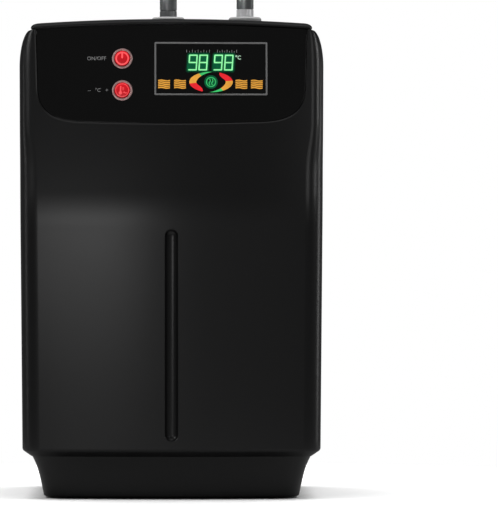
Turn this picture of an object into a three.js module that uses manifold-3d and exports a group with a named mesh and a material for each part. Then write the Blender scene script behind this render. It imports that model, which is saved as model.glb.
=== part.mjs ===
// Under-counter boiling water unit: a steel tank in foam halves, inside a moulded casing with a gloss
// control panel, two sprung push buttons and two pipe stubs on its lid.
// Millimetres, +Z up, front towards -Y. The origin is the middle of the footprint, on the floor.

import * as THREE from 'three';
import { mergeVertices } from 'three/addons/utils/BufferGeometryUtils.js';
import Module from 'manifold-3d';

const wasm = await Module();
wasm.setup();

// Casing
const casingHalfWidth = 107;
const baseDraw = 2.4;
const casingDepth = 200;
const crownHeight = 336.6;
const wall = 3.5;
const cornerRadius = 11;
const smallestCorner = 0.8;
const frontBow = 500;
const rearDepth = 40;

// Leaning upper front
const leanAngle = 8 * Math.PI / 180;
const bendDrop = 121.6;
const bendHeight = 25;

// Shoulder, lid edge and the shadow gap under it
const shoulderDraw = 8.1;
const shoulderHeight = 25.5;
const rimBand = 3.6;
const rimRound = 3.1;
const rimRoundShares = [[0, 1], [0.27, 0.5], [1, 0.13], [2, 0]];
const rimStep = 2;
const archDrop = 2.9;
const shadowGap = 0.9;

// Plinth and the undercut ledge over it
const plinthHeight = 30;
const ledgeInset = 6.3;
const ledgeRise = 4.3;
const plinthTaper = 5.9;
const plinthFlare = 2.8;
const plinthCorner = 20;
const plinthWall = 3;
const deckThickness = 4;
const plinthLift = 1.2;
const shelfThickness = 3.8;
const shelfWidth = 8;

// Groove down the front
const grooveWidth = 9.1;
const grooveDepth = 3.2;
const grooveLift = 6.5;
const grooveDrop = 1.3;
const grooveWall = 2;

// Control panel
const panelSideMargin = 3.3;
const panelSideDraw = 1.6;
const panelSideDrop = 46.6;
const panelCornerReach = 35.5;
const panelBottomDrop = 73.7;
const panelBottomRise = 1.1;
const panelTurnShare = 0.905;
const panelThickness = 1.4;
const panelRecess = 0.8;

// Display in the panel
const displayLeft = -11.9;
const displayRight = 67.2;
const displayTopDrop = 16.6;
const displayHeight = 37.4;
const displayFrameWidth = 1.2;
const displayFrameProud = 0.25;
const displayLedge = 1.5;

// Push buttons
const buttonX = -34.5;
const powerButtonDrop = 28.1;
const temperatureButtonDrop = 50.5;
const buttonRingRadius = 7.2;
const buttonRingWidth = 1.5;
const buttonRingProud = 0.5;
const buttonCapProud = 0.7;
const buttonDome = 0.35;
const buttonDomeShares = [[0.5, 0.75], [0, 1]];
const buttonEdge = 0.5;
const buttonFlangeRadius = 6.6;
const buttonFlangeThickness = 1;
const buttonStemRadius = 2.2;
const buttonTravelRoom = 0.95;

// Display board
const boardDepth = 15;
const boardLeftMargin = 13.5;
const boardRightMargin = 4.8;
const boardBottomMargin = 2.6;
const boardThickness = 1.6;
const boardPostInset = 4;
const boardPostRadius = 3.2;
const moduleMargin = 1.2;
const moduleLensGap = 0.5;
const switchSide = 6;
const switchBodyHeight = 3.5;
const switchHeight = 5;
const switchPlungerRadius = 1.75;

// Screws
const screwShankRadius = 1.5;
const screwHeadRadius = 3;
const screwHeadHeight = 2;
const screwLength = 12;
const boardScrewLength = 7;

// Posts that join the rear casing to the front cover
const postRadius = 5.5;
const postStandOff = 3;
const postRib = 4;
const postLift = 30;
const postDrop = 36.6;
const postLength = 15;
const postFloor = 4;

// Tank
const tankRoom = 24;
const foamFloor = 18.2;
const tankWall = 1.2;
const tankEdge = 12;
const foamTopBelowTank = 2;

// Pipes through the lid
const pipeRadius = 6.1;
const pipeBore = 3.4;
const pipeY = -10;
const coldPipeX = -2.3;
const pipeSpacing = 55;
const pipeRise = 27.5;
const pipeSpigotRadius = 4.4;
const coldSleeveLift = 8.7;
const hotSleeveLift = 9.7;
const sleeveRise = 37.5;
const spudRadius = 9;
const spudHeight = 14;
const dipTubeGap = 14;
const dipTubeRadius = 5;

// Collars and lock nuts on the lid
const collarRadius = 11.7;
const collarHeight = 3.8;
const collarChamfer = 1.1;
const collarTopRadius = 10;
const padRadius = 12.6;
const padProud = 0.9;
const padDrop = 8.6;
const lockNutRadius = 12;
const lockNutHeight = 6;
const lipDepth = 8;
const lipWall = 2;

// Heating element
const elementShares = [-0.55, 0.24];
const elementHexRadius = 22;
const elementHexHeight = 8;
const elementPlugRadius = 16;
const elementPlugDepth = 10;
const elementTubeRadius = 4;
const elementLegX = 9;
const elementGap = 33;
const elementTerminalWidth = 6.3;
const elementTerminalThickness = 0.8;
const elementTerminalHeight = 9;
const elementWasherThickness = 1.5;

// Temperature probe and thermal cutout
const probeShares = [-0.105, 0.63];
const probeRadius = 3;
const probeDepth = 90;
const probeHexRadius = 7;
const probeHexHeight = 6;
const cutoutShares = [0.34, 0.58];
const cutoutRadius = 8;
const cutoutHeight = 8;
const cutoutTabWidth = 4.8;
const cutoutTabHeight = 6;

// Drain
const drainRadius = 8;
const drainBore = 5;
const drainFlangeRadius = 12;
const drainFlangeThickness = 3;
const drainNeckRadius = 7;
const drainNeckHeight = 2;
const drainEnd = 12.5;
const drainWasherThickness = 1.5;
const drainWasherRadius = 8.5;
const drainHeadRadius = 9.5;
const drainHeadHeight = 6;
const drainShankRadius = 4.7;
const drainShankLength = 14;
const drainAccessRadius = 13;

// Base plate and feet
const basePlateBottom = 2;
const basePlateThickness = 2;
const footInset = 38.6;
const footEndInset = 40;
const footRadius = 8;
const footPegRadius = 2.2;
const footPegHeight = 5;
const baseScrewInset = 64.6;
const baseScrewEndInset = 34;
const baseScrewHeadHeight = 1.3;

// Power board on the rear casing
const powerBoardX = 8;
const powerBoardDrop = 24.6;
const powerBoardGap = 12;
const powerBoardHalfWidth = 55;
const powerBoardHalfHeight = 24;
const powerBoardStandoff = 8;
const standoffRadius = 3;
const relaySize = [19, 15, 15.5];
const relayX = 42;
const heatSinkSize = [26, 18, 30];
const heatSinkX = 4;
const heatSinkFins = 5;
const heatSinkBase = 4;
const heatSinkFinThickness = 1.8;
const terminalBlockSize = [30, 13, 16];
const terminalBlockX = -28;

// Mains inlet
const inletInset = 49;
const inletLift = 32;
const inletFlange = [31, 2.5, 23];
const inletBody = [27, 22, 20];
const inletCavity = [23.5, 16, 16];
const inletBlade = [2, 10, 6];
const inletBladeSpacing = 7;
const inletPocketMargin = 1;

// Vents in the rear casing
const ventCount = 5;
const ventPitch = 9;
const ventHeight = 2.6;
const ventHalfWidth = 30;
const ventDrop = 72.6;

// Leads
const leadRadius = 1.6;
const mainsLeadRadius = 3;
const mainsLeadReach = 12;
const mainsLeadRoomGap = 1.2;
const ribbonWidth = 14;
const ribbonThickness = 1.2;
const ribbonX = 25;

// Gaps: round a piece in its hole or recess, between a soft half and its wall, past a cut face
const clearance = 0.3;
const foamGap = 0.4;
const overrun = 2;

// Facet counts
const bowSteps = 4;
const cornerSteps = 3;
const bendSteps = 2;
const shoulderSteps = 4;
const plinthSteps = 4;
const roundSteps = 24;
const smallSteps = 10;
const buttonSteps = 20;
const screwSteps = 8;
const edgeSteps = 3;
const pathSteps = 2;
const turnSteps = 4;
const ribbonSteps = 12;

// Places that follow from the sizes above
const frontY = -casingDepth / 2;
const backY = casingDepth / 2;
const splitY = backY - rearDepth;
const innerBackY = backY - wall;
const baseHalfWidth = casingHalfWidth - baseDraw;
const rimHalfWidth = casingHalfWidth - shoulderDraw;
const ledgeTop = plinthHeight + ledgeRise;
const shelfTop = plinthHeight + shelfThickness;
const bendEnd = crownHeight - bendDrop;
const bendStart = bendEnd - bendHeight;
const shoulderTop = crownHeight - rimBand - shadowGap - archDrop;
const shoulderStart = shoulderTop - shoulderHeight;
const grooveBottom = ledgeTop + grooveLift;
const grooveTop = bendStart - grooveDrop;
const panelTopHalfWidth = rimHalfWidth - panelSideMargin;
const panelSideHalfWidth = panelTopHalfWidth - panelSideDraw;
const panelCornerHalfWidth = panelSideHalfWidth - panelCornerReach;
const panelSideHeight = crownHeight - panelSideDrop;
const panelBottom = crownHeight - panelBottomDrop;
const displayTop = crownHeight - displayTopDrop;
const displayBottom = displayTop - displayHeight;
const boardLeft = buttonX - boardLeftMargin;
const boardRight = displayRight + boardRightMargin;
const boardBottom = displayBottom - boardBottomMargin;
const boardX = (boardLeft + boardRight) / 2;
const boardHeight = (boardBottom + displayTop) / 2;
const boardHalfWidth = (boardRight - boardLeft) / 2;
const boardHalfHeight = (displayTop - boardBottom) / 2;
const ventBottom = crownHeight - ventDrop;
const inletX = inletInset - casingHalfWidth;
const inletHeight = plinthHeight + inletLift;
const powerBoardZ = crownHeight - powerBoardDrop - powerBoardHalfHeight;
const tankRadius = Math.min(casingHalfWidth, casingDepth / 2) - tankRoom;
const tankBottom = shelfTop + foamFloor;
const tankTop = powerBoardZ - powerBoardHalfHeight - powerBoardGap;
const drainFlangeBottom = tankBottom - drainFlangeThickness;
const dipTubeBottom = tankBottom + dipTubeGap;
const elementBottom = tankBottom + elementGap;
const [elementX, elementY] = elementShares.map((share) => tankRadius * share);
const [probeX, probeY] = probeShares.map((share) => tankRadius * share);
const [cutoutX, cutoutY] = cutoutShares.map((share) => tankRadius * share);
const hotPipeX = coldPipeX + pipeSpacing;
const padTop = crownHeight + padProud;
const padBottom = crownHeight - padDrop;
const pipeTop = padTop + pipeRise;
const sleeveTop = padTop + sleeveRise;
const footX = baseHalfWidth - footInset;
const footY = backY - footEndInset;
const baseScrewX = baseHalfWidth - baseScrewInset;
const baseScrewY = backY - baseScrewEndInset;

// Joining and cutting

function toSolid(geometry) {
  const bare = geometry.clone();
  bare.deleteAttribute('normal');
  bare.deleteAttribute('uv');
  const merged = mergeVertices(bare);
  const vertProperties = new Float32Array(merged.attributes.position.array);
  const triVerts = new Uint32Array(merged.index.array);
  return new wasm.Manifold(new wasm.Mesh({ numProp: 3, vertProperties, triVerts }));
}

function toGeometry(solid) {
  const mesh = solid.getMesh();
  const geometry = new THREE.BufferGeometry();
  geometry.setAttribute('position', new THREE.BufferAttribute(new Float32Array(mesh.vertProperties), 3));
  geometry.setIndex(new THREE.BufferAttribute(new Uint32Array(mesh.triVerts), 1));
  const flat = geometry.toNonIndexed();
  flat.computeVertexNormals();
  return flat;
}

const cut = (solid, ...tools) => tools.reduce((left, tool) => left.subtract(tool), solid);
const join = (first, ...others) => others.reduce((sum, other) => sum.add(other), first);
const common = (first, second) => first.intersect(second);

// Simple solids

function placed(geometry, matrix) {
  return toSolid(matrix ? geometry.applyMatrix4(matrix) : geometry);
}

function block(low, high, matrix) {
  const size = high.map((value, i) => value - low[i]);
  const middle = high.map((value, i) => (value + low[i]) / 2);
  return placed(new THREE.BoxGeometry(...size).translate(...middle), matrix);
}

// An upright round or hexagonal bar from one height to another.
function bar(radius, low, high, { x = 0, y = 0, sides = roundSteps, matrix } = {}) {
  const geometry = new THREE.CylinderGeometry(radius, radius, high - low, sides);
  geometry.rotateX(Math.PI / 2).translate(x, y, (low + high) / 2);
  return placed(geometry, matrix);
}

// A round bar that lies along Y.
function barAlongY(radius, low, high, x, z, sides = smallSteps) {
  const geometry = new THREE.CylinderGeometry(radius, radius, high - low, sides);
  return toSolid(geometry.translate(x, (low + high) / 2, z));
}

// A turned solid: points are [radius, height] from the axis and back to it.
function turned(points, { sides = roundSteps, matrix } = {}) {
  const profile = points.map(([radius, height]) => new THREE.Vector2(radius, height));
  const geometry = new THREE.LatheGeometry(profile, sides).rotateX(Math.PI / 2);
  return placed(geometry, matrix);
}

function tube(outer, inner, low, high, options = {}) {
  return cut(bar(outer, low, high, options), bar(inner, low - overrun, high + overrun, options));
}

// A front elevation outline, swept along Y between two depths.
function sweptAlongY(shape, near, far) {
  const geometry = new THREE.ExtrudeGeometry(shape, { depth: far - near, bevelEnabled: false });
  return toSolid(geometry.rotateX(Math.PI / 2).translate(0, far, 0));
}

function upright(left, right, bottom, top) {
  const shape = new THREE.Shape();
  shape.moveTo(left, bottom);
  shape.lineTo(right, bottom);
  shape.lineTo(right, top);
  shape.lineTo(left, top);
  shape.closePath();
  return shape;
}

function rodAlong(points, radius, sides) {
  const path = new THREE.CatmullRomCurve3(points.map((point) => new THREE.Vector3(...point)));
  const section = new THREE.Shape();
  section.absarc(0, 0, radius, 0, 2 * Math.PI);
  const steps = pathSteps * (points.length - 1);
  return new THREE.ExtrudeGeometry(section, { steps, curveSegments: sides, extrudePath: path });
}

// The casing's form

// Height of the cover's top edge, which is arched across the width.
const seamAt = (x) => crownHeight - rimBand - shadowGap - archDrop * (x / rimHalfWidth) ** 2;

// The front stands upright up to the bend and leans back above it.
function frontAt(z) {
  const lean = Math.tan(leanAngle);
  if (z <= bendStart) return frontY;
  if (z >= bendEnd) return frontY + lean * (z - (bendStart + bendEnd) / 2);
  return frontY + lean * (z - bendStart) ** 2 / (2 * (bendEnd - bendStart));
}

function halfWidthAt(z) {
  if (z <= shoulderStart) {
    const share = Math.max(0, (z - ledgeTop) / (shoulderStart - ledgeTop));
    return baseHalfWidth + (casingHalfWidth - baseHalfWidth) * share;
  }
  const rise = Math.min(1, (z - shoulderStart) / shoulderHeight);
  return rimHalfWidth + (casingHalfWidth - rimHalfWidth) * Math.sqrt(1 - rise ** 2);
}

// One layer of the casing: a bowed front, round corners and a straight back, drawn in by an inset.
// Each station across the width has a front point and a back point. The stations along the bow stay
// at the same places across the width in every layer, whatever its inset.
function planLayer({ halfWidth, corner, inset, heightAt, stationX = casingHalfWidth - cornerRadius }) {
  const reach = halfWidth - inset;
  const radius = Math.max(corner - inset, smallestCorner);
  const bow = frontBow - inset;
  const cornerX = reach - radius;
  const cornerBack = bow - Math.sqrt((bow - radius) ** 2 - cornerX ** 2);
  const meeting = Math.asin(cornerX / (bow - radius));
  const right = [];
  for (let i = 1; i < bowSteps; i++) {
    const x = stationX * i / bowSteps;
    right.push([x, bow - Math.sqrt(bow ** 2 - x ** 2), 0]);
  }
  for (let i = 0; i <= cornerSteps; i++) {
    const angle = meeting + (Math.PI / 2 - meeting) * i / cornerSteps;
    const drawn = radius * Math.cos(angle);
    right.push([cornerX + radius * Math.sin(angle), cornerBack - drawn, drawn - radius]);
  }
  const left = right.map(([x, near, far]) => [-x, near, far]).reverse();
  return [...left, [0, 0, 0], ...right].map(([x, near, far]) => {
    const z = heightAt(x);
    return { x, z, near: frontAt(z) + inset + near, far: backY - inset + far };
  });
}

// A closed skin through layers, from the lowest to the highest.
function loft(layers) {
  const stations = layers[0].length;
  const ring = 2 * stations;
  const positions = [];
  const index = [];
  for (const layer of layers) {
    for (const point of layer) positions.push(point.x, point.near, point.z);
    for (const point of [...layer].reverse()) positions.push(point.x, point.far, point.z);
  }
  for (let level = 0; level < layers.length - 1; level++) {
    for (let i = 0; i < ring; i++) {
      const here = level * ring + i;
      const next = level * ring + (i + 1) % ring;
      index.push(here, next, next + ring, here, next + ring, here + ring);
    }
  }
  const top = (layers.length - 1) * ring;
  for (let i = 0; i < stations - 1; i++) {
    const [near, nextNear, far, nextFar] = [i, i + 1, ring - 1 - i, ring - 2 - i];
    index.push(near, nextFar, nextNear, near, far, nextFar);
    index.push(top + near, top + nextNear, top + nextFar, top + near, top + nextFar, top + far);
  }
  const geometry = new THREE.BufferGeometry();
  geometry.setAttribute('position', new THREE.Float32BufferAttribute(positions, 3));
  geometry.setIndex(index);
  return toSolid(geometry);
}

function casingLayer(z, inset) {
  const halfWidth = halfWidthAt(z);
  const corner = cornerRadius - casingHalfWidth + halfWidth;
  return planLayer({ halfWidth, corner, inset, heightAt: () => z });
}

function seamLayer(inset, lift) {
  const corner = cornerRadius - casingHalfWidth + rimHalfWidth;
  return planLayer({ halfWidth: rimHalfWidth, corner, inset, heightAt: (x) => seamAt(x) + lift });
}

// The heights where the casing's form changes, between a bottom and a top.
function casingHeights(bottom, top) {
  const heights = [];
  for (let i = 0; i <= bendSteps; i++) heights.push(bendStart + (bendEnd - bendStart) * i / bendSteps);
  for (let i = 0; i < shoulderSteps; i++) {
    heights.push(shoulderStart + shoulderHeight * Math.sin(Math.PI / 2 * i / shoulderSteps));
  }
  return [bottom, ...heights.filter((z) => z > bottom && z < top)];
}

// The casing's outer form drawn in by an inset, from a height up to the seam or past it.
function casingForm(inset, bottom, lift = 0) {
  const layers = casingHeights(bottom, shoulderTop).map((z) => casingLayer(z, inset));
  layers.push(seamLayer(inset, 0));
  if (lift > 0) layers.push(seamLayer(inset, lift));
  return layers;
}

// Everything in front of the split, or behind it.
function half(front) {
  const reach = casingHalfWidth + overrun;
  const top = crownHeight + overrun;
  return front
    ? block([-reach, frontY - overrun, -overrun], [reach, splitY, top])
    : block([-reach, splitY, -overrun], [reach, backY + overrun, top]);
}

// A frame on the front surface: x along it, y up it and z straight out of it.
function frontFrame(x, z) {
  const across = x / Math.sqrt(frontBow ** 2 - x ** 2);
  const out = new THREE.Vector3(across, -1, Math.tan(leanAngle)).normalize();
  const up = new THREE.Vector3(0, Math.sin(leanAngle), Math.cos(leanAngle));
  const right = new THREE.Vector3().crossVectors(up, out).normalize();
  const level = new THREE.Vector3().crossVectors(out, right);
  const y = frontAt(z) + frontBow - Math.sqrt(frontBow ** 2 - x ** 2);
  return new THREE.Matrix4().makeBasis(right, level, out).setPosition(x, y, z);
}

// How far the bowed front falls away at a distance along the surface from a frame's origin.
const bowDrop = (distance) => distance ** 2 / (2 * frontBow);

const boardFrame = frontFrame(boardX, boardHeight);
const buttonFrames = {
  power: frontFrame(buttonX, crownHeight - powerButtonDrop),
  temperature: frontFrame(buttonX, crownHeight - temperatureButtonDrop),
};

// Where a button's axis meets the plane of its switch's tip, in the board's frame.
function switchUnder(frame) {
  const toBoard = boardFrame.clone().invert().multiply(frame);
  const start = new THREE.Vector3(0, 0, 0).applyMatrix4(toBoard);
  const inward = new THREE.Vector3(0, 0, -1).transformDirection(toBoard);
  const distance = (start.z + boardDepth - switchHeight) / -inward.z;
  return { distance, point: start.addScaledVector(inward, distance) };
}

// Materials

const look = (color, roughness, metalness) => ({ color, roughness, metalness });
const looks = {
  casing: look(0x141414, 0.42, 0),
  gloss: look(0x0b0b0b, 0.12, 0),
  trim: look(0x8c8c8c, 0.4, 0.2),
  lens: look(0x050708, 0.05, 0),
  red: look(0xd01818, 0.3, 0),
  ring: look(0xd9b8b4, 0.3, 0.6),
  rubber: look(0x1c1c1c, 0.85, 0),
  steel: look(0xb9bcbf, 0.3, 1),
  darkSteel: look(0x585a5d, 0.35, 0.8),
  collar: look(0xb4b4b4, 0.45, 0.3),
  sleeve: look(0x3b3e3f, 0.4, 0.1),
  foam: look(0xe8e6df, 0.9, 0),
  brass: look(0xb5924a, 0.35, 1),
  board: look(0x1f5a34, 0.6, 0),
  black: look(0x1a1a1a, 0.5, 0),
  aluminium: look(0xa9acae, 0.4, 1),
  cream: look(0xe6e0cf, 0.5, 0),
  zinc: look(0xc4c6c8, 0.35, 1),
  white: look(0xececea, 0.5, 0),
};

const unit = new THREE.Group();

function add(name, shape, kind, parent = unit) {
  const geometry = shape.isBufferGeometry ? shape : toGeometry(shape);
  const mesh = new THREE.Mesh(geometry, new THREE.MeshStandardMaterial(looks[kind]));
  mesh.name = name;
  parent.add(mesh);
  return mesh;
}

// A group whose own frame is a matrix.
function groupAt(matrix) {
  const group = new THREE.Group();
  matrix.decompose(group.position, group.quaternion, group.scale);
  unit.add(group);
  return group;
}

// Casing pieces

const casingWalls = cut(
  join(
    loft(casingForm(0, ledgeTop)),
    loft([casingLayer(plinthHeight, ledgeInset), casingLayer(ledgeTop, 0)]),
  ),
  loft(casingForm(wall, shelfTop, overrun)),
  loft([casingLayer(plinthHeight - overrun, ledgeInset + shelfWidth),
    casingLayer(shelfTop + overrun, ledgeInset + shelfWidth)]),
);

// The outline of the panel, or of the recess that it lies in when it is grown.
function panelOutline(grow) {
  const top = crownHeight + overrun;
  const bottom = panelBottom - grow;
  const cornerZ = bottom + panelBottomRise;
  const side = panelSideHalfWidth + grow;
  const corner = panelCornerHalfWidth;
  const turn = side * panelTurnShare;
  const turnZ = cornerZ + (panelSideHeight - cornerZ) / 3;
  const shape = new THREE.Shape();
  shape.moveTo(-panelTopHalfWidth - grow, top);
  shape.lineTo(-side, panelSideHeight);
  shape.bezierCurveTo(-side, turnZ, -turn, cornerZ, -corner, cornerZ);
  shape.quadraticCurveTo(-corner / 2, bottom, 0, bottom);
  shape.quadraticCurveTo(corner / 2, bottom, corner, cornerZ);
  shape.bezierCurveTo(turn, cornerZ, side, turnZ, side, panelSideHeight);
  shape.lineTo(panelTopHalfWidth + grow, top);
  shape.closePath();
  return shape;
}

const panelPrism = (grow) => sweptAlongY(panelOutline(grow), frontY - overrun, 0);

// A skin that follows the front, between two insets.
function frontSkin(outer, inner) {
  return cut(loft(casingForm(outer, bendEnd)), loft(casingForm(inner, bendEnd - overrun, overrun)));
}

function displayRectangle(shrink) {
  return sweptAlongY(
    upright(displayLeft + shrink, displayRight - shrink, displayBottom + shrink, displayTop - shrink),
    frontY - overrun, 0,
  );
}

function capsule(radius) {
  const halfOpening = grooveWidth / 2;
  const cutRadius = (halfOpening ** 2 + grooveDepth ** 2) / (2 * grooveDepth);
  const length = grooveTop - grooveBottom - grooveWidth;
  const geometry = new THREE.CapsuleGeometry(cutRadius + radius, length, edgeSteps, roundSteps);
  geometry.rotateX(Math.PI / 2);
  geometry.translate(0, frontY + grooveDepth - cutRadius, (grooveTop + grooveBottom) / 2);
  return toSolid(geometry);
}

const postPlaces = [];
for (const z of [plinthHeight + postLift, crownHeight - postDrop]) {
  const x = halfWidthAt(z) - wall - postRadius - postStandOff;
  postPlaces.push([-x, z], [x, z]);
}

// A round post with a rib that ties it to the side wall, or the room round both.
function tiedPost([x, z], near, far, room = 0) {
  const wallX = Math.sign(x) * (halfWidthAt(z) - wall / 2);
  const halfRib = postRib / 2 + room;
  const rib = block(
    [Math.min(x, wallX), near, z - halfRib],
    [Math.max(x, wallX), far, z + halfRib],
  );
  return join(barAlongY(postRadius + room, near, far, x, z), rib);
}

const boardPostPlaces = [];
for (const side of [-1, 1]) {
  const along = side * (boardHalfWidth - boardPostInset);
  for (const level of [-1, 1]) boardPostPlaces.push([along, level * (boardHalfHeight - boardPostInset)]);
}

function boardPost([along, up]) {
  const place = { x: along, y: up, sides: smallSteps, matrix: boardFrame };
  return bar(boardPostRadius, -boardDepth, -bowDrop(along) - wall / 2, place);
}

function boardPostHole([along, up]) {
  const place = { x: along, y: up, sides: smallSteps, matrix: boardFrame };
  return bar(screwShankRadius + clearance, -boardDepth - overrun, -bowDrop(along) - wall - overrun, place);
}

function makeFrontCover() {
  const recessFloor = panelRecess + panelThickness + clearance;
  const recess = cut(panelPrism(clearance), loft(casingForm(recessFloor, bendEnd - overrun, overrun)));
  const posts = postPlaces.map((place) => tiedPost(place, splitY - postLength, splitY));
  const screwTip = splitY + postFloor - screwLength;
  const holes = postPlaces.map(([x, z]) => (
    barAlongY(screwShankRadius + clearance, screwTip - clearance, splitY + overrun, x, z)
  ));
  const capRadius = buttonRingRadius - buttonRingWidth;
  const buttonHoles = Object.values(buttonFrames).map((frame) => (
    bar(capRadius + clearance, -wall - overrun, overrun, { sides: smallSteps, matrix: frame })
  ));
  const grooveBacking = common(capsule(grooveWall), loft(casingForm(wall / 2, ledgeTop)));
  const shell = join(common(casingWalls, half(true)), grooveBacking);
  return cut(
    join(shell, ...posts, ...boardPostPlaces.map(boardPost)),
    capsule(0), recess, displayRectangle(displayFrameWidth + displayLedge),
    ...holes, ...buttonHoles, ...boardPostPlaces.map(boardPostHole),
  );
}

function makeRearCasing() {
  const form = loft(casingForm(wall / 2, ledgeTop));
  const posts = postPlaces.map((place) => common(tiedPost(place, splitY, backY), form));
  const wells = postPlaces.map(([x, z]) => (
    barAlongY(screwHeadRadius + clearance, splitY + postFloor, backY + overrun, x, z)
  ));
  const holes = postPlaces.map(([x, z]) => (
    barAlongY(screwShankRadius + clearance, splitY - overrun, splitY + postFloor + overrun, x, z)
  ));
  const vents = [];
  for (let i = 0; i < ventCount; i++) {
    const low = ventBottom + i * ventPitch;
    const [near, far] = [innerBackY - overrun, backY + overrun];
    vents.push(block([-ventHalfWidth, near, low], [ventHalfWidth, far, low + ventHeight]));
  }
  const standoffs = powerBoardCorners().map(([x, z]) => (
    barAlongY(standoffRadius, innerBackY - powerBoardStandoff, innerBackY + overrun, x, z)
  ));
  const standoffHoles = powerBoardCorners().map(([x, z]) => (
    barAlongY(screwShankRadius + clearance, innerBackY - powerBoardStandoff - overrun, innerBackY, x, z)
  ));
  return cut(
    join(common(casingWalls, half(false)), ...posts, ...standoffs, inletPad()),
    ...wells, ...holes, ...vents, ...standoffHoles, inletPocket(), inletHole(),
  );
}

function centredBlock([width, depth, height], x, front, z, margin = 0) {
  return block(
    [x - width / 2 - margin, front, z - height / 2 - margin],
    [x + width / 2 + margin, front + depth, z + height / 2 + margin],
  );
}

const inletFaceY = backY - inletFlange[1];

// A block round the inlet's middle, between two depths.
function inletBlock([width, , height], near, far, margin) {
  return centredBlock([width, far - near, height], inletX, near, inletHeight, margin);
}

const inletPad = () => (
  inletBlock(inletFlange, inletFaceY - wall, backY - wall / 2, inletPocketMargin + wall)
);
const inletPocket = () => inletBlock(inletFlange, inletFaceY, backY + overrun, inletPocketMargin);
const inletHole = () => inletBlock(inletBody, inletFaceY - wall - overrun, inletFaceY + overrun, clearance);

function powerBoardCorners() {
  const x = powerBoardHalfWidth - boardPostInset;
  const z = powerBoardHalfHeight - boardPostInset;
  return [[-1, -1], [1, -1], [-1, 1], [1, 1]].map(([i, k]) => [powerBoardX + i * x, powerBoardZ + k * z]);
}

function makeTopLid() {
  const layer = (inset, above) => seamLayer(inset, shadowGap + above);
  const rounded = rimRoundShares.map(([drawn, below]) => layer(rimRound * drawn, rimBand - rimRound * below));
  const plate = loft([layer(0, 0), ...rounded]);
  const step = loft([layer(rimStep, clearance - shadowGap), layer(rimStep, rimBand / 2)]);
  const lipInset = wall + clearance;
  const lip = cut(
    loft([layer(lipInset, -lipDepth), layer(lipInset, 0)]),
    loft([layer(lipInset + lipWall, -lipDepth - overrun), layer(lipInset + lipWall, 0)]),
  );
  const pads = [coldPipeX, hotPipeX].map((x) => bar(padRadius, padBottom, padTop, { x, y: pipeY }));
  const holes = [coldPipeX, hotPipeX].map((x) => (
    bar(pipeRadius + clearance, padBottom - overrun, padTop + overrun, { x, y: pipeY })
  ));
  return cut(join(plate, step, lip, ...pads), ...holes);
}

// The plinth is drawn in from the casing's base, most at its foot.
function plinthInset(z) {
  const share = z / plinthHeight;
  return ledgeInset + plinthTaper * (1 - share) + plinthFlare * (1 - share ** 4);
}

function plinthLayer(z, extra, inset = plinthInset(z)) {
  const drawn = inset + extra;
  const radius = Math.max(plinthCorner - extra, smallestCorner);
  return planLayer({
    halfWidth: baseHalfWidth,
    corner: radius + drawn,
    inset: drawn,
    heightAt: () => z,
    stationX: baseHalfWidth - plinthInset(0) - plinthCorner,
  });
}

function plinthForm(extra, bottom, top) {
  const layers = [];
  for (let i = 0; i <= plinthSteps; i++) {
    layers.push(plinthLayer(bottom + (top - bottom) * i / plinthSteps, extra));
  }
  return loft(layers);
}

const footPlaces = [];
const baseScrewPlaces = [];
for (const side of [-1, 1]) {
  for (const end of [-1, 1]) {
    footPlaces.push([side * footX, end * footY]);
    baseScrewPlaces.push([side * baseScrewX, end * baseScrewY]);
  }
}

const basePlateTop = basePlateBottom + basePlateThickness;

function makePlinth() {
  const deckBottom = plinthHeight - deckThickness;
  const hollow = plinthForm(plinthWall, 0, deckBottom);
  const posts = baseScrewPlaces.map(([x, y]) => (
    bar(postRadius, basePlateTop, deckBottom + overrun, { x, y, sides: smallSteps })
  ));
  const screwTip = basePlateBottom + screwLength;
  const holes = baseScrewPlaces.map(([x, y]) => (
    bar(screwShankRadius + clearance, 0, screwTip + clearance, { x, y, sides: smallSteps })
  ));
  const drain = bar(drainRadius + clearance, deckBottom - overrun, plinthHeight + overrun);
  return cut(join(cut(plinthForm(0, plinthLift, plinthHeight), hollow), ...posts), ...holes, drain);
}

function makeBasePlate() {
  const inset = plinthInset(0) + foamGap;
  const plate = loft([
    plinthLayer(basePlateBottom, plinthWall, inset),
    plinthLayer(basePlateTop, plinthWall, inset),
  ]);
  const through = (radius) => ([x, y]) => bar(radius, 0, basePlateTop + overrun, { x, y, sides: smallSteps });
  return cut(
    plate,
    ...footPlaces.map(through(footPegRadius + clearance)),
    ...baseScrewPlaces.map(through(screwShankRadius + clearance)),
    bar(drainAccessRadius, 0, basePlateTop + overrun),
  );
}

add('front_cover', makeFrontCover(), 'casing');
add('rear_casing', makeRearCasing(), 'casing');
add('top_lid', makeTopLid(), 'casing');
add('base_plinth', makePlinth(), 'casing');
add('base_plate', makeBasePlate(), 'black');

footPlaces.forEach(([x, y], i) => {
  const foot = turned([
    [0, 0], [footRadius, 0], [footRadius, basePlateBottom], [footPegRadius, basePlateBottom],
    [footPegRadius, basePlateBottom + footPegHeight], [0, basePlateBottom + footPegHeight],
  ], { sides: smallSteps });
  add(`foot_${i + 1}`, foot, 'rubber').position.set(x, y, 0);
});

// A screw whose head's underside is at height zero, with its shank going up.
function screw(length = screwLength, headHeight = screwHeadHeight) {
  return turned([
    [0, -headHeight], [screwHeadRadius, -headHeight], [screwHeadRadius, 0],
    [screwShankRadius, 0], [screwShankRadius, length], [0, length],
  ], { sides: screwSteps });
}

baseScrewPlaces.forEach(([x, y], i) => {
  const mesh = add(`base_screw_${i + 1}`, screw(screwLength, baseScrewHeadHeight), 'zinc');
  mesh.position.set(x, y, basePlateBottom);
});

postPlaces.forEach(([x, z], i) => {
  const mesh = add(`rear_screw_${i + 1}`, screw(), 'zinc');
  mesh.position.set(x, splitY + postFloor, z);
  mesh.rotation.x = Math.PI / 2;
});

// Control panel pieces

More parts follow.
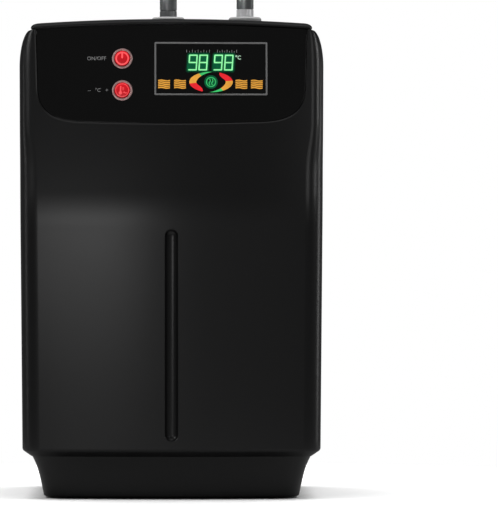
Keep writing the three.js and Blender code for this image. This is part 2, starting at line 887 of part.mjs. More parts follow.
function makePanel() {
  const skin = frontSkin(panelRecess, panelRecess + panelThickness);
  const ringHoles = Object.values(buttonFrames).map((frame) => (
    bar(buttonRingRadius + clearance, -wall, overrun, { matrix: frame })
  ));
  return cut(common(panelPrism(0), skin), displayRectangle(-clearance), ...ringHoles);
}

function makeDisplayFrame() {
  const skin = frontSkin(panelRecess - displayFrameProud, panelRecess + panelThickness);
  return common(skin, cut(displayRectangle(0), displayRectangle(displayFrameWidth)));
}

function makeDisplayWindow() {
  const skin = frontSkin(panelRecess, panelRecess + panelThickness);
  return common(skin, displayRectangle(displayFrameWidth + clearance));
}

add('control_panel', makePanel(), 'gloss');
add('display_frame', makeDisplayFrame(), 'trim');
add('display_window', makeDisplayWindow(), 'lens');

const boardGroup = groupAt(boardFrame);

for (const [kind, frame] of Object.entries(buttonFrames)) {
  const group = groupAt(frame);
  const holeRadius = buttonRingRadius - buttonRingWidth;
  const capRadius = holeRadius - clearance;
  const panelFace = -panelRecess * Math.cos(leanAngle);
  const ringTop = panelFace + buttonRingProud;
  const ring = tube(buttonRingRadius, holeRadius, panelFace - panelThickness, ringTop);
  const capEdge = panelFace + buttonCapProud;
  const underWall = -wall - clearance;
  const { distance, point } = switchUnder(frame);
  const stemEnd = buttonTravelRoom - distance;
  const cap = turned([
    [0, stemEnd], [buttonStemRadius, stemEnd], [buttonStemRadius, underWall - buttonFlangeThickness],
    [buttonFlangeRadius, underWall - buttonFlangeThickness], [buttonFlangeRadius, underWall],
    [capRadius, underWall], [capRadius, capEdge - buttonEdge], [capRadius - buttonEdge, capEdge],
    ...buttonDomeShares.map(([out, up]) => [capRadius * out, capEdge + buttonDome * up]),
  ], { sides: buttonSteps });
  add(`${kind}_button_ring`, ring, 'ring', group);
  add(`${kind}_button`, cap, 'red', group);
  const side = switchSide / 2;
  const body = block([-side, -side, 0], [side, side, switchBodyHeight]);
  const plunger = bar(switchPlungerRadius, switchBodyHeight / 2, switchHeight, { sides: smallSteps });
  add(`${kind}_switch`, join(body, plunger), 'black', boardGroup).position.set(point.x, point.y, -boardDepth);
}

function makeDisplayBoard() {
  const plate = block(
    [-boardHalfWidth, -boardHalfHeight, -boardDepth - boardThickness],
    [boardHalfWidth, boardHalfHeight, -boardDepth],
  );
  const [low, high] = [-boardDepth - 2 * overrun, overrun - boardDepth];
  const holes = boardPostPlaces.map(([x, y]) => (
    bar(screwShankRadius + clearance, low, high, { x, y, sides: smallSteps })
  ));
  return cut(plate, ...holes);
}

// The block of lights fills the display opening and stops just short of the lens at its far corner.
function makeDisplayModule() {
  const shrink = displayFrameWidth + displayLedge + moduleMargin;
  const left = displayLeft + shrink - boardX;
  const right = displayRight - shrink - boardX;
  const front = -panelRecess - panelThickness - bowDrop(right) - moduleLensGap;
  const low = displayBottom + shrink - boardHeight;
  const high = displayTop - shrink - boardHeight;
  return block([left, low, -boardDepth], [right, high, front]);
}

add('display_board', makeDisplayBoard(), 'board', boardGroup);
add('display_module', makeDisplayModule(), 'black', boardGroup);
[boardPostPlaces[0], boardPostPlaces[3]].forEach(([x, y], i) => {
  const mesh = add(`board_screw_${i + 1}`, screw(boardScrewLength), 'zinc', boardGroup);
  mesh.position.set(x, y, -boardDepth - boardThickness);
});

// Tank and what is fixed to it

function tankForm(inset) {
  const radius = tankRadius - inset;
  const edge = tankEdge - inset;
  const [low, high] = [tankBottom + inset, tankTop - inset];
  const points = [[0, low]];
  for (let i = 0; i <= edgeSteps; i++) {
    const angle = Math.PI / 2 * i / edgeSteps;
    points.push([radius - edge + edge * Math.sin(angle), low + edge - edge * Math.cos(angle)]);
  }
  for (let i = 0; i <= edgeSteps; i++) {
    const angle = Math.PI / 2 * i / edgeSteps;
    points.push([radius - edge + edge * Math.cos(angle), high - edge + edge * Math.sin(angle)]);
  }
  points.push([0, high]);
  return turned(points);
}

function makeTank() {
  const spuds = [coldPipeX, hotPipeX].map((x) => (
    bar(spudRadius, tankTop - tankWall, tankTop + spudHeight, { x, y: pipeY, sides: smallSteps })
  ));
  const topHole = (radius, x, y) => (
    bar(radius + clearance, tankTop - overrun - tankWall, tankTop + spudHeight + overrun, { x, y })
  );
  return cut(
    join(cut(tankForm(0), tankForm(tankWall)), ...spuds),
    topHole(pipeRadius, coldPipeX, pipeY),
    topHole(pipeRadius, hotPipeX, pipeY),
    topHole(elementPlugRadius, elementX, elementY),
    topHole(probeRadius, probeX, probeY),
    bar(drainNeckRadius + clearance, tankBottom - overrun, tankBottom + tankWall + overrun),
  );
}

function makeElement() {
  const hexBottom = tankTop + elementWasherThickness;
  const hexTop = hexBottom + elementHexHeight;
  const at = { x: elementX, y: elementY };
  const plugBottom = tankTop - elementPlugDepth;
  const legMiddle = (plugBottom + elementBottom) / 2;
  const legs = [[-elementLegX, plugBottom + overrun], [-elementLegX, legMiddle]];
  for (let i = 0; i <= turnSteps; i++) {
    const angle = Math.PI * i / turnSteps;
    legs.push([-elementLegX * Math.cos(angle), elementBottom + elementLegX * (1 - Math.sin(angle))]);
  }
  legs.push([elementLegX, legMiddle], [elementLegX, plugBottom + overrun]);
  const points = legs.map(([x, z]) => [elementX + x, elementY, z]);
  const halfTab = [elementTerminalWidth / 2, elementTerminalThickness / 2];
  const tabs = [-1, 1].map((side) => block(
    [elementX + side * elementLegX - halfTab[0], elementY - halfTab[1], hexTop - overrun],
    [elementX + side * elementLegX + halfTab[0], elementY + halfTab[1], hexTop + elementTerminalHeight],
  ));
  return join(
    bar(elementHexRadius, hexBottom, hexTop, { ...at, sides: 6 }),
    bar(elementPlugRadius, plugBottom, hexBottom + overrun, at),
    toSolid(rodAlong(points, elementTubeRadius, 6)),
    ...tabs,
  );
}

function makeProbe() {
  const at = { x: probeX, y: probeY };
  return join(
    bar(probeHexRadius, tankTop, tankTop + probeHexHeight, { ...at, sides: 6 }),
    bar(probeRadius, tankTop - probeDepth, tankTop + overrun, { ...at, sides: smallSteps }),
  );
}

function makeCutout() {
  const top = tankTop + cutoutHeight;
  const tab = cutoutTabWidth / 2;
  const tabs = [-1, 1].map((side) => block(
    [cutoutX + side * tab * 2 - tab / 2, cutoutY - elementTerminalThickness / 2, top - overrun],
    [cutoutX + side * tab * 2 + tab / 2, cutoutY + elementTerminalThickness / 2, top + cutoutTabHeight],
  ));
  return join(bar(cutoutRadius, tankTop, top, { x: cutoutX, y: cutoutY, sides: smallSteps }), ...tabs);
}

const elementWasher = tube(elementHexRadius - overrun, elementPlugRadius + clearance, tankTop,
  tankTop + elementWasherThickness, { x: elementX, y: elementY });

add('tank', makeTank(), 'steel');
add('heating_element', makeElement(), 'brass');
add('element_washer', elementWasher, 'rubber');
add('temperature_probe', makeProbe(), 'steel');
add('thermal_cutout', makeCutout(), 'black');

const pipeBottom = tankTop - overrun;

// A pipe stands in its spud and narrows to a spigot where the sleeve is pushed on.
function makePipe(sleeveBottom) {
  const shoulder = sleeveBottom - clearance;
  return turned([
    [pipeBore, pipeBottom], [pipeRadius, pipeBottom], [pipeRadius, shoulder],
    [pipeSpigotRadius, shoulder], [pipeSpigotRadius, pipeTop], [pipeBore, pipeTop],
    [pipeBore, pipeBottom],
  ]);
}

function makeCollar() {
  const inner = pipeRadius + clearance;
  return turned([
    [inner, 0], [collarRadius, 0], [collarRadius, collarHeight - collarChamfer],
    [collarTopRadius, collarHeight], [inner, collarHeight], [inner, 0],
  ]);
}

function makeLockNut() {
  const bottom = padBottom - lockNutHeight;
  return cut(
    bar(lockNutRadius, bottom, padBottom, { sides: 6 }),
    bar(pipeRadius + clearance, bottom - overrun, padBottom + overrun),
  );
}

const pipes = [
  ['cold', coldPipeX, padTop + coldSleeveLift, 'darkSteel'],
  ['hot', hotPipeX, padTop + hotSleeveLift, 'steel'],
];
for (const [kind, x, sleeveBottom, finish] of pipes) {
  const place = (mesh, z = 0) => mesh.position.set(x, pipeY, z);
  const sleeve = tube(pipeRadius, pipeSpigotRadius + clearance, sleeveBottom, sleeveTop);
  place(add(`${kind}_pipe`, makePipe(sleeveBottom), finish));
  place(add(`${kind}_sleeve`, sleeve, 'sleeve'));
  place(add(`${kind}_collar`, makeCollar(), 'collar'), padTop);
  place(add(`${kind}_lock_nut`, makeLockNut(), 'brass'));
}

const dipTube = tube(dipTubeRadius, pipeBore, dipTubeBottom, pipeBottom - clearance, { sides: smallSteps });
add('cold_dip_tube', dipTube, 'white').position.set(coldPipeX, pipeY, 0);

function makeFoam(front) {
  const top = tankTop - foamTopBelowTank;
  const inset = wall + foamGap;
  const reach = casingHalfWidth;
  const body = loft([...casingHeights(shelfTop, top), top].map((z) => casingLayer(z, inset)));
  const keep = front
    ? block([-reach, frontY, 0], [reach, 0, crownHeight])
    : block([-reach, 0, 0], [reach, backY, crownHeight]);
  const posts = postPlaces.map((place) => tiedPost(place, splitY - postLength - foamGap, backY, foamGap));
  return cut(
    common(body, keep),
    bar(tankRadius + foamGap, tankBottom, top + overrun),
    bar(drainRadius + foamGap, shelfTop - overrun, tankBottom + overrun),
    bar(drainFlangeRadius + foamGap, drainFlangeBottom - foamGap, tankBottom + overrun),
    capsule(grooveWall + foamGap), ...posts, inletRoom(), mainsLeadRoom(top),
  );
}

// Room in the foam for the inlet's body and for the lead that climbs from it.
function inletRoom() {
  const near = mainsLeadY - mainsLeadRadius - mainsLeadRoomGap;
  return inletBlock(inletFlange, near, backY, inletPocketMargin + wall + foamGap);
}

function mainsLeadRoom(top) {
  const room = mainsLeadRadius + mainsLeadRoomGap;
  return block(
    [inletX - room, mainsLeadY - room, inletHeight],
    [inletX + room, backY, top + overrun],
  );
}

// The mains lead climbs just behind the inlet's body.
const inletBodyBack = inletFaceY - inletBody[1];
const mainsLeadY = inletBodyBack - mainsLeadReach;

add('insulation_front', makeFoam(true), 'foam');
add('insulation_rear', makeFoam(false), 'foam');

// Drain

const drainPipe = turned([
  [drainBore, drainEnd], [drainRadius, drainEnd], [drainRadius, drainFlangeBottom],
  [drainFlangeRadius, drainFlangeBottom], [drainFlangeRadius, tankBottom],
  [drainNeckRadius, tankBottom], [drainNeckRadius, tankBottom + drainNeckHeight],
  [drainBore, tankBottom + drainNeckHeight], [drainBore, drainEnd],
]);
const drainWasherBottom = drainEnd - drainWasherThickness;
const drainWasher = tube(drainWasherRadius, drainBore + clearance, drainWasherBottom, drainEnd);
const drainPlug = join(
  bar(drainHeadRadius, drainWasherBottom - drainHeadHeight, drainWasherBottom, { sides: 6 }),
  bar(drainShankRadius, drainWasherBottom - overrun, drainWasherBottom + drainShankLength),
);
add('drain_pipe', drainPipe, 'steel');
add('drain_washer', drainWasher, 'rubber');
add('drain_plug', drainPlug, 'brass');

// Power board and its parts, on the rear casing's posts

const powerBoardBack = innerBackY - powerBoardStandoff;
const powerBoardFace = powerBoardBack - boardThickness;

function makePowerBoard() {
  const plate = block(
    [powerBoardX - powerBoardHalfWidth, powerBoardFace, powerBoardZ - powerBoardHalfHeight],
    [powerBoardX + powerBoardHalfWidth, powerBoardBack, powerBoardZ + powerBoardHalfHeight],
  );
  const holes = powerBoardCorners().map(([x, z]) => (
    barAlongY(screwShankRadius + clearance, powerBoardFace - overrun, powerBoardBack + overrun, x, z)
  ));
  return cut(plate, ...holes);
}

function onPowerBoard(size, x) {
  return centredBlock(size, x, powerBoardFace - size[1], powerBoardZ);
}

function makeHeatSink() {
  const [width, depth, height] = heatSinkSize;
  const spacing = (width - heatSinkFinThickness) / (heatSinkFins - 1);
  const fins = [];
  for (let i = 0; i < heatSinkFins; i++) {
    const left = heatSinkX - width / 2 + i * spacing;
    fins.push(block(
      [left, powerBoardFace - depth, powerBoardZ - height / 2],
      [left + heatSinkFinThickness, powerBoardFace - heatSinkBase / 2, powerBoardZ + height / 2],
    ));
  }
  return join(onPowerBoard([width, heatSinkBase, height], heatSinkX), ...fins);
}

add('power_board', makePowerBoard(), 'board');
add('relay', onPowerBoard(relaySize, relayX), 'black');
add('heat_sink', makeHeatSink(), 'aluminium');
add('terminal_block', onPowerBoard(terminalBlockSize, terminalBlockX), 'cream');
[powerBoardCorners()[0], powerBoardCorners()[3]].forEach(([x, z], i) => {
  const mesh = add(`power_board_screw_${i + 1}`, screw(boardScrewLength), 'zinc');
  mesh.position.set(x, powerBoardFace, z);
  mesh.rotation.x = -Math.PI / 2;
});

// Mains inlet: a flange, a body behind it, and a socket with three blades

function makeInlet() {
  const [flangeWidth, flangeDepth, flangeHeight] = inletFlange;
  const bodyFront = inletFaceY - inletBody[1];
  const cavityFloor = backY - inletCavity[1];
  const blades = [-1, 0, 1].map((place) => centredBlock(
    [inletBlade[0], inletBlade[1] + overrun, inletBlade[2]],
    inletX + place * inletBladeSpacing, cavityFloor - overrun,
    inletHeight + (place === 0 ? inletBlade[2] / 3 : -inletBlade[2] / 4),
  ));
  const shell = join(
    centredBlock([flangeWidth, flangeDepth, flangeHeight], inletX, inletFaceY, inletHeight),
    inletBlock(inletBody, bodyFront, inletFaceY + flangeDepth / 2, 0),
  );
  return join(cut(shell, inletBlock(inletCavity, cavityFloor, backY + overrun, 0)), ...blades);
}

add('mains_inlet', makeInlet(), 'black');

// Leads inside the casing

const elementTabTop = tankTop + elementWasherThickness + elementHexHeight + elementTerminalHeight;
const blockFaceY = powerBoardFace - terminalBlockSize[1];
for (const [name, side] of [['live_lead', -1], ['neutral_lead', 1]]) {
  const tabX = elementX + side * elementLegX;
  const blockX = terminalBlockX + side * terminalBlockSize[0] / 4;
  const [tabZ, blockZ] = [elementTabTop + clearance, powerBoardZ];
  const lift = blockZ - tabZ;
  add(name, rodAlong([
    [tabX, elementY, tabZ],
    [tabX, elementY, tabZ + lift / 3],
    [(tabX + blockX) / 2, (elementY + blockFaceY) / 2, blockZ],
    [blockX, blockFaceY - lift / 2, blockZ],
    [blockX, blockFaceY - clearance, blockZ],
  ], leadRadius, 6), side < 0 ? 'rubber' : 'cream');
}

function makeMainsLead() {
  const blockBottom = powerBoardZ - terminalBlockSize[2] / 2 - clearance;
  const blockMiddle = powerBoardFace - terminalBlockSize[1] / 2;
  const rise = blockBottom - tankTop;
  return rodAlong([
    [inletX, inletBodyBack - clearance, inletHeight],
    [inletX, inletBodyBack - mainsLeadReach / 3, inletHeight],
    [inletX, mainsLeadY + mainsLeadRadius / 2, inletHeight + 2 * mainsLeadRadius],
    [inletX, mainsLeadY, inletHeight + 2 * mainsLeadReach],
    [inletX, mainsLeadY, tankTop - 2 * mainsLeadReach],
    [inletX, mainsLeadY, tankTop],
    [(inletX + terminalBlockX) / 2, (mainsLeadY + blockMiddle) / 2, (tankTop + blockBottom) / 2],
    [terminalBlockX, blockMiddle, blockBottom - rise / 4],
    [terminalBlockX, blockMiddle, blockBottom],
  ], mainsLeadRadius, 6);
}

add('mains_lead', makeMainsLead(), 'rubber');

// A flat ribbon from the display board to the power board, drawn as its side view.
function makeRibbon() {
  const behind = (distance) => new THREE.Vector3(ribbonX - boardX, 0, -boardDepth - boardThickness - distance)
    .applyMatrix4(boardFrame);
  const start = behind(clearance);
  const clear = behind(lipDepth / 2);
  const dip = tankTop + spudHeight + 2 * overrun;
  const curve = new THREE.SplineCurve([
    new THREE.Vector2(start.y, start.z),
    new THREE.Vector2(clear.y, clear.z),
    new THREE.Vector2(start.y + 2 * lipDepth, start.z - lipDepth),
    new THREE.Vector2(pipeY, dip),
    new THREE.Vector2(cutoutY, dip + overrun),
    new THREE.Vector2(powerBoardFace - lipDepth, dip + lipDepth / 2),
    new THREE.Vector2(powerBoardFace - clearance, dip + lipDepth),
  ]);
  const upper = [];
  const lower = [];
  for (let i = 0; i <= ribbonSteps; i++) {
    const point = curve.getPoint(i / ribbonSteps);
    const tangent = curve.getTangent(i / ribbonSteps);
    const offset = new THREE.Vector2(-tangent.y, tangent.x).multiplyScalar(ribbonThickness / 2);
    upper.push(point.clone().add(offset));
    lower.push(point.clone().sub(offset));
  }
  const shape = new THREE.Shape([...lower, ...upper.reverse()]);
  const geometry = new THREE.ExtrudeGeometry(shape, { depth: ribbonWidth, bevelEnabled: false });
  const turn = new THREE.Matrix4().makeBasis(
    new THREE.Vector3(0, 1, 0), new THREE.Vector3(0, 0, 1), new THREE.Vector3(1, 0, 0),
  );
  return geometry.applyMatrix4(turn).translate(ribbonX - ribbonWidth / 2, 0, 0);
}

add('display_ribbon', makeRibbon(), 'cream');

export default unit;
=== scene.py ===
# Looks of the under-counter boiling water unit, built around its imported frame.
# Metres, +Z up, front towards -Y, origin in the middle of the footprint on the floor.

import math

import bmesh
import bpy
from mathutils import Matrix, Vector
from mathutils.geometry import delaunay_2d_cdt


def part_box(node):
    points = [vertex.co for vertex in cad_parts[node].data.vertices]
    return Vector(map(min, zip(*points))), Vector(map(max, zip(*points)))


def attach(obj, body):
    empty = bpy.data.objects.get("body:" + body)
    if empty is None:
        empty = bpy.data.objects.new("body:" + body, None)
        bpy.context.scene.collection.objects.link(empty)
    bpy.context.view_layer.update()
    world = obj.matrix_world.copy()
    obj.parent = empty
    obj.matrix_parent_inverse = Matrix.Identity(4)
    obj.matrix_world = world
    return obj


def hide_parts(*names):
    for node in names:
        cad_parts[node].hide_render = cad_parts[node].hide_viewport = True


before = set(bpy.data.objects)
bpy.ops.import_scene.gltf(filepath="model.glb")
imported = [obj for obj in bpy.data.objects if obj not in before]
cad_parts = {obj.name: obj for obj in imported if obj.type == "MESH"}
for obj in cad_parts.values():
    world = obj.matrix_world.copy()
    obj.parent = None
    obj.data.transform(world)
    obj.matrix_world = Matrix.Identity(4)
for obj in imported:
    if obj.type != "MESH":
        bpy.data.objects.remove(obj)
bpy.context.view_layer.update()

MM = 0.001

# Places read from the frame
half_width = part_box("front_cover")[1].x
front_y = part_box("front_cover")[0].y
back_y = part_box("rear_casing")[1].y
split_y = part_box("rear_casing")[0].y
plinth_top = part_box("base_plinth")[1].z
plinth_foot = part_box("base_plinth")[0].z
rim_half_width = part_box("top_lid")[1].x
crown_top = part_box("top_lid")[1].z

# The casing's form, as the real sizes that the frame was built with
base_half_width = 104.6 * MM
corner_radius = 11 * MM
low_corner_radius = 15.5 * MM
corner_settle = 232 * MM
smallest_corner = 0.8 * MM
front_bow = 500 * MM
wall = 3.5 * MM
lean_angle = math.radians(8)
bend_start = 190 * MM
bend_end = 215 * MM
shoulder_height = 25.5 * MM
rim_band = 3.6 * MM
rim_round_inset = 6.2 * MM
rim_round_drop = 3.1 * MM
arch_drop = 2.9 * MM
shadow_gap = 0.9 * MM
lid_crown = 336.6 * MM
ledge_inset = 6.3 * MM
ledge_rise = 4.3 * MM
ledge_round = 2.6 * MM
plinth_taper = 5.9 * MM
plinth_flare = 2.8 * MM
plinth_corner = 20 * MM
plinth_wall = 3 * MM
plinth_edge = 1.2 * MM

ledge_top = plinth_top + ledge_rise
shoulder_top = lid_crown - rim_band - shadow_gap - arch_drop
shoulder_start = shoulder_top - shoulder_height

# Groove down the front
groove_width = 9.1 * MM
groove_depth = 3.2 * MM
groove_bottom = 40.8 * MM
groove_top = 188.7 * MM
groove_edge = 0.7 * MM

# Control panel
panel_top_half_width = 95.6 * MM
panel_side_half_width = 94 * MM
panel_side_height = 290 * MM
panel_corner_half_width = 58.5 * MM
panel_bottom = 262.9 * MM
panel_bottom_rise = 1.1 * MM
panel_turn_share = 0.905
panel_top_rise = 2 * MM
panel_thickness = 1.4 * MM
panel_recess = 0.8 * MM
panel_edge_round = 0.35 * MM
recess_chamfer = 0.8 * MM
recess_chamfer_depth = 0.46 * MM
panel_gap = 0.3 * MM

# Display
display_left = -11.9 * MM
display_right = 67.2 * MM
display_bottom = 282.6 * MM
display_top = 320 * MM
display_frame_width = 1.2 * MM
display_frame_proud = 0.25 * MM
display_corner = 0.8 * MM
display_ledge = 1.5 * MM
display_gap = 0.15 * MM

# Push buttons
button_x = -34.5 * MM
button_heights = {"power": 308.5 * MM, "temperature": 286.1 * MM}
button_ring_radius = 7.2 * MM
button_ring_width = 1.5 * MM
button_ring_proud = 0.5 * MM
button_cap_proud = 0.7 * MM
button_dome = 0.35 * MM
button_edge = 0.5 * MM
button_hole_radius = 6 * MM
button_flange_radius = 6.6 * MM
button_flange_thickness = MM
button_stem_radius = 2.2 * MM
ring_round = 0.35 * MM
ring_gap = 0.15 * MM
panel_face = -panel_recess * math.cos(lean_angle)

# Pipes on the lid
pipe_radius = 6.1 * MM
collar_radius = 11.7 * MM
collar_top_radius = 10.6 * MM
collar_height = 3.8 * MM
collar_chamfer = 1.1 * MM
pad_radius = 12.6 * MM
pad_top = 337.5 * MM
pad_bottom = 328 * MM
pipe_y = -10 * MM
pipe_places = {"cold": -2.3 * MM, "hot": 52.7 * MM}
pipe_bore = 3.4 * MM
pipe_spigot_radius = 4.4 * MM
pipe_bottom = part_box("cold_pipe")[0].z
pipe_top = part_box("cold_pipe")[1].z
sleeve_bottoms = {"cold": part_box("cold_sleeve")[0].z, "hot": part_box("hot_sleeve")[0].z}
sleeve_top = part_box("cold_sleeve")[1].z

# Lid's underside
lid_step_inset = 2 * MM
lid_under_round = 0.25 * MM
lip_depth = 8 * MM
lip_width = 2 * MM

# Screws, and the posts and wells that take them
post_lift = 30 * MM
post_drop = 36.6 * MM
post_radius = 5.5 * MM
post_stand_off = 3 * MM
well_radius = 3.3 * MM
well_edge = 0.4 * MM
screw_seat_y = split_y + 4 * MM
screw_head_radius = 3 * MM
screw_head_height = 2 * MM
screw_shank_radius = 1.5 * MM
screw_length = 12 * MM
screw_dome_share, screw_floor_share = 0.6, 0.45
screw_cross_length = 1.9 * MM
screw_cross_width = 0.35 * MM
base_screw_head_height = 1.3 * MM

# Rear face: vents and the mains inlet
vent_count = 5
vent_pitch = 9 * MM
vent_height = 2.6 * MM
vent_half_width = 30 * MM
vent_bottom = 264 * MM
vent_edge = 0.3 * MM
inlet_x = -58 * MM
inlet_z = 62 * MM
inlet_flange_width = 31 * MM
inlet_flange_depth = 2.5 * MM
inlet_flange_height = 23 * MM
inlet_pocket_margin = MM
inlet_body_width = 27 * MM
inlet_body_height = 20 * MM
inlet_face_y = back_y - inlet_flange_depth

# Under the casing
deck_thickness = 4 * MM
plinth_rows = 18
base_plate_bottom = 2 * MM
base_plate_top = 4 * MM
base_plate_gap = 0.4 * MM
drain_access_radius = 13 * MM
drain_hole_radius = 8.3 * MM
foot_radius = 8 * MM
foot_peg_radius = 2.2 * MM
foot_peg_height = 5 * MM
foot_x, foot_y = 66 * MM, 60 * MM
base_screw_x, base_screw_y = 40 * MM, 66 * MM
foot_places = [(x * foot_x, y * foot_y) for x in (-1, 1) for y in (-1, 1)]
base_screw_places = [(x * base_screw_x, y * base_screw_y) for x in (-1, 1) for y in (-1, 1)]

# Rounds of small edges
small_edge = 0.12 * MM
fine_round = 0.25 * MM
small_round = 0.3 * MM
edge_round = 0.4 * MM
soft_round = 0.5 * MM
foot_round = 0.6 * MM

# How far a cutter reaches past the face that it leaves by
overcut = MM

# Fineness of the curved pieces
crease = 35
cover_crease = 25
fine_sides, many_sides, peg_sides, few_sides = 128, 96, 64, 48
round_steps = 5
plan_steps = 24
sheet_step = 4 * MM
sheet_margin = 0.8 * MM
surface_tolerance = 0.02 * MM
facing_share = 0.9
weld = 1e-6


# The casing's surface

def share_of(value, low, high):
    """How far a value is from low to high, kept between 0 and 1."""
    return min(1, max(0, (value - low) / (high - low)))


def seam_at(x):
    return lid_crown - rim_band - shadow_gap - arch_drop * (x / rim_half_width) ** 2


def front_at(z):
    lean = math.tan(lean_angle)
    if z <= bend_start:
        return front_y
    if z >= bend_end:
        return front_y + lean * (z - (bend_start + bend_end) / 2)
    return front_y + lean * (z - bend_start) ** 2 / (2 * (bend_end - bend_start))


def half_width_at(z):
    if z <= shoulder_start:
        rise = share_of(z, ledge_top, shoulder_start)
        return base_half_width + (half_width - base_half_width) * rise
    rise = min(1.0, (z - shoulder_start) / shoulder_height)
    return rim_half_width + (half_width - rim_half_width) * math.sqrt(1 - rise ** 2)


def bow_drop(x, inset=0.0):
    bow = front_bow - inset
    return bow - math.sqrt(bow ** 2 - x ** 2)


def on_face(x, z, depth=0.0):
    """A point at a depth behind the bowed, leaning front."""
    return x, front_at(z) + bow_drop(x) + depth, z


def out_of_front(x, lean):
    return Vector((x / math.sqrt(front_bow ** 2 - x ** 2), -1, lean)).normalized()


def front_normal(point):
    """Straight out of the front surface, which leans above its bend."""
    return out_of_front(point.x, math.tan(lean_angle) * share_of(point.z, bend_start, bend_end))


def front_frame(x, z):
    """A frame on the front surface: X along it, Y up it and Z straight out of it."""
    out = out_of_front(x, math.tan(lean_angle))
    up = Vector((0, math.sin(lean_angle), math.cos(lean_angle)))
    right = up.cross(out).normalized()
    place = Matrix((right, out.cross(right), out)).transposed().to_4x4()
    place.translation = Vector(on_face(x, z))
    return place


# Lists of numbers and outlines

def even(start, end, count):
    """Evenly spaced values from start to end, both among them."""
    return [start + (end - start) * i / count for i in range(count + 1)]


def spread(low, high, step):
    """Values about a step apart, from low to just before high."""
    return even(low, high, max(1, round((high - low) / step)))[:-1]


def polar(x, z, radius, angles):
    return [(x + radius * math.cos(a), z + radius * math.sin(a)) for a in angles]


def circle(x, z, radius, steps=64):
    return polar(x, z, radius, even(0, 2 * math.pi, steps)[:-1])


def rectangle(left, bottom, right, top, radius):
    """An anticlockwise rectangle with round corners."""
    outline = []
    for x, z, start in ((right - radius, bottom + radius, -90), (right - radius, top - radius, 0),
                        (left + radius, top - radius, 90), (left + radius, bottom + radius, 180)):
        outline += polar(x, z, radius, [math.radians(a) for a in even(start, start + 90, round_steps)])
    return outline


def rounded(profile, rounds):
    """Turns corners of a profile into arcs: rounds maps a corner's index to a radius."""
    path = []
    for i, corner in enumerate(profile):
        if i not in rounds:
            path.append(corner)
            continue
        size, here = rounds[i], Vector(corner)
        before = (Vector(profile[i - 1]) - here).normalized()
        after = (Vector(profile[i + 1]) - here).normalized()
        angle = before.angle(after)
        reach = size / math.tan(angle / 2)
        centre = here + (before + after).normalized() * (size / math.sin(angle / 2))
        start, end = here + before * reach - centre, here + after * reach - centre
        turns = [start.slerp(end, share).normalized() for share in even(0, 1, round_steps)]
        path += [tuple(centre + turn * size) for turn in turns]
    return path


def grow_outline(outline, distance):
    """A closed outline moved out by a distance; it runs anticlockwise."""
    sharpest = 0.3
    grown = []
    for i, here in enumerate(outline):
        here, after = Vector(here), Vector(outline[(i + 1) % len(outline)])
        along_in = (here - Vector(outline[i - 1])).normalized()
        along_out = (after - here).normalized()
        normal = Vector((along_in.y + along_out.y, -along_in.x - along_out.x)).normalized()
        cosine = max(sharpest, normal.dot(Vector((along_in.y, -along_in.x))))
        grown.append(tuple(here + normal * distance / cosine))
    return grown


def inside(point, outline):
    x, z = point
    found = False
    for (ax, az), (bx, bz) in zip(outline, outline[1:] + outline[:1]):
        if (az > z) != (bz > z) and x < (bx - ax) * (z - az) / (bz - az) + ax:
            found = not found
    return found


def distance_to(point, outline, closed=True):
    here, tiny = Vector(point), 1e-18
    nearest = math.inf
    for a, b in zip(outline, outline[1:] + outline[:1] if closed else outline[1:]):
        start, along = Vector(a), Vector(b) - Vector(a)
        share = min(1, max(0, (here - start).dot(along) / max(along.length_squared, tiny)))
        nearest = min(nearest, (here - start - along * share).length)
    return nearest


# Mesh helpers

def add_mesh(name, points, faces):
    """A welded, outward-facing mesh object, smooth but for its sharp edges."""
    mesh = bpy.data.meshes.new(name)
    mesh.from_pydata([tuple(p) for p in points], [], faces)
    shape = bmesh.new()
    shape.from_mesh(mesh)
    bmesh.ops.remove_doubles(shape, verts=shape.verts, dist=weld)
    bmesh.ops.dissolve_degenerate(shape, edges=shape.edges, dist=weld / 10)
    bmesh.ops.delete(shape, geom=[v for v in shape.verts if not v.link_faces], context="VERTS")
    bmesh.ops.recalc_face_normals(shape, faces=shape.faces)
    shape.to_mesh(mesh)
    shape.free()
    piece = bpy.data.objects.new(name, mesh)
    bpy.context.scene.collection.objects.link(piece)
    smooth(piece, crease)
    return piece


def smooth(piece, angle):
    piece.data.shade_smooth()
    piece.data.set_sharp_from_angle(angle=math.radians(angle))


def true_front(piece, depth=0.0):
    """Shades the flat triangles of a piece's face as the bowed, leaning front that they lie on."""
    mesh = piece.data
    normals = [Vector((0, 0, 0))] * len(mesh.loops)
    for face in mesh.polygons:
        corners = [mesh.vertices[i].co for i in face.vertices]
        off = max(abs(p.y - on_face(p.x, p.z, depth)[1]) for p in corners)
        if off < surface_tolerance and face.normal.dot(front_normal(face.center)) > facing_share:
            for loop in face.loop_indices:
                normals[loop] = front_normal(mesh.vertices[mesh.loops[loop].vertex_index].co)
    mesh.normals_split_custom_set(normals)
    return piece


def boolean(piece, cutters, operation="DIFFERENCE", angle=crease):
    """Cuts or joins with each cutter, which is then deleted."""
    for cutter in cutters:
        step = piece.modifiers.new("step", "BOOLEAN")
        step.operation = operation
        step.solver = "EXACT"
        step.object = cutter
        depsgraph = bpy.context.evaluated_depsgraph_get()
        done = bpy.data.meshes.new_from_object(piece.evaluated_get(depsgraph))
        piece.modifiers.clear()
        piece.data = done
        bpy.data.objects.remove(cutter)
    smooth(piece, angle)
    return piece


def bands(count, rows):
    """Quads between closed rows of as many points each."""
    faces = []
    for low in range(0, count * (rows - 1), count):
        for i in range(count):
            j = (i + 1) % count
            faces.append((low + i, low + j, low + count + j, low + count + i))
    return faces


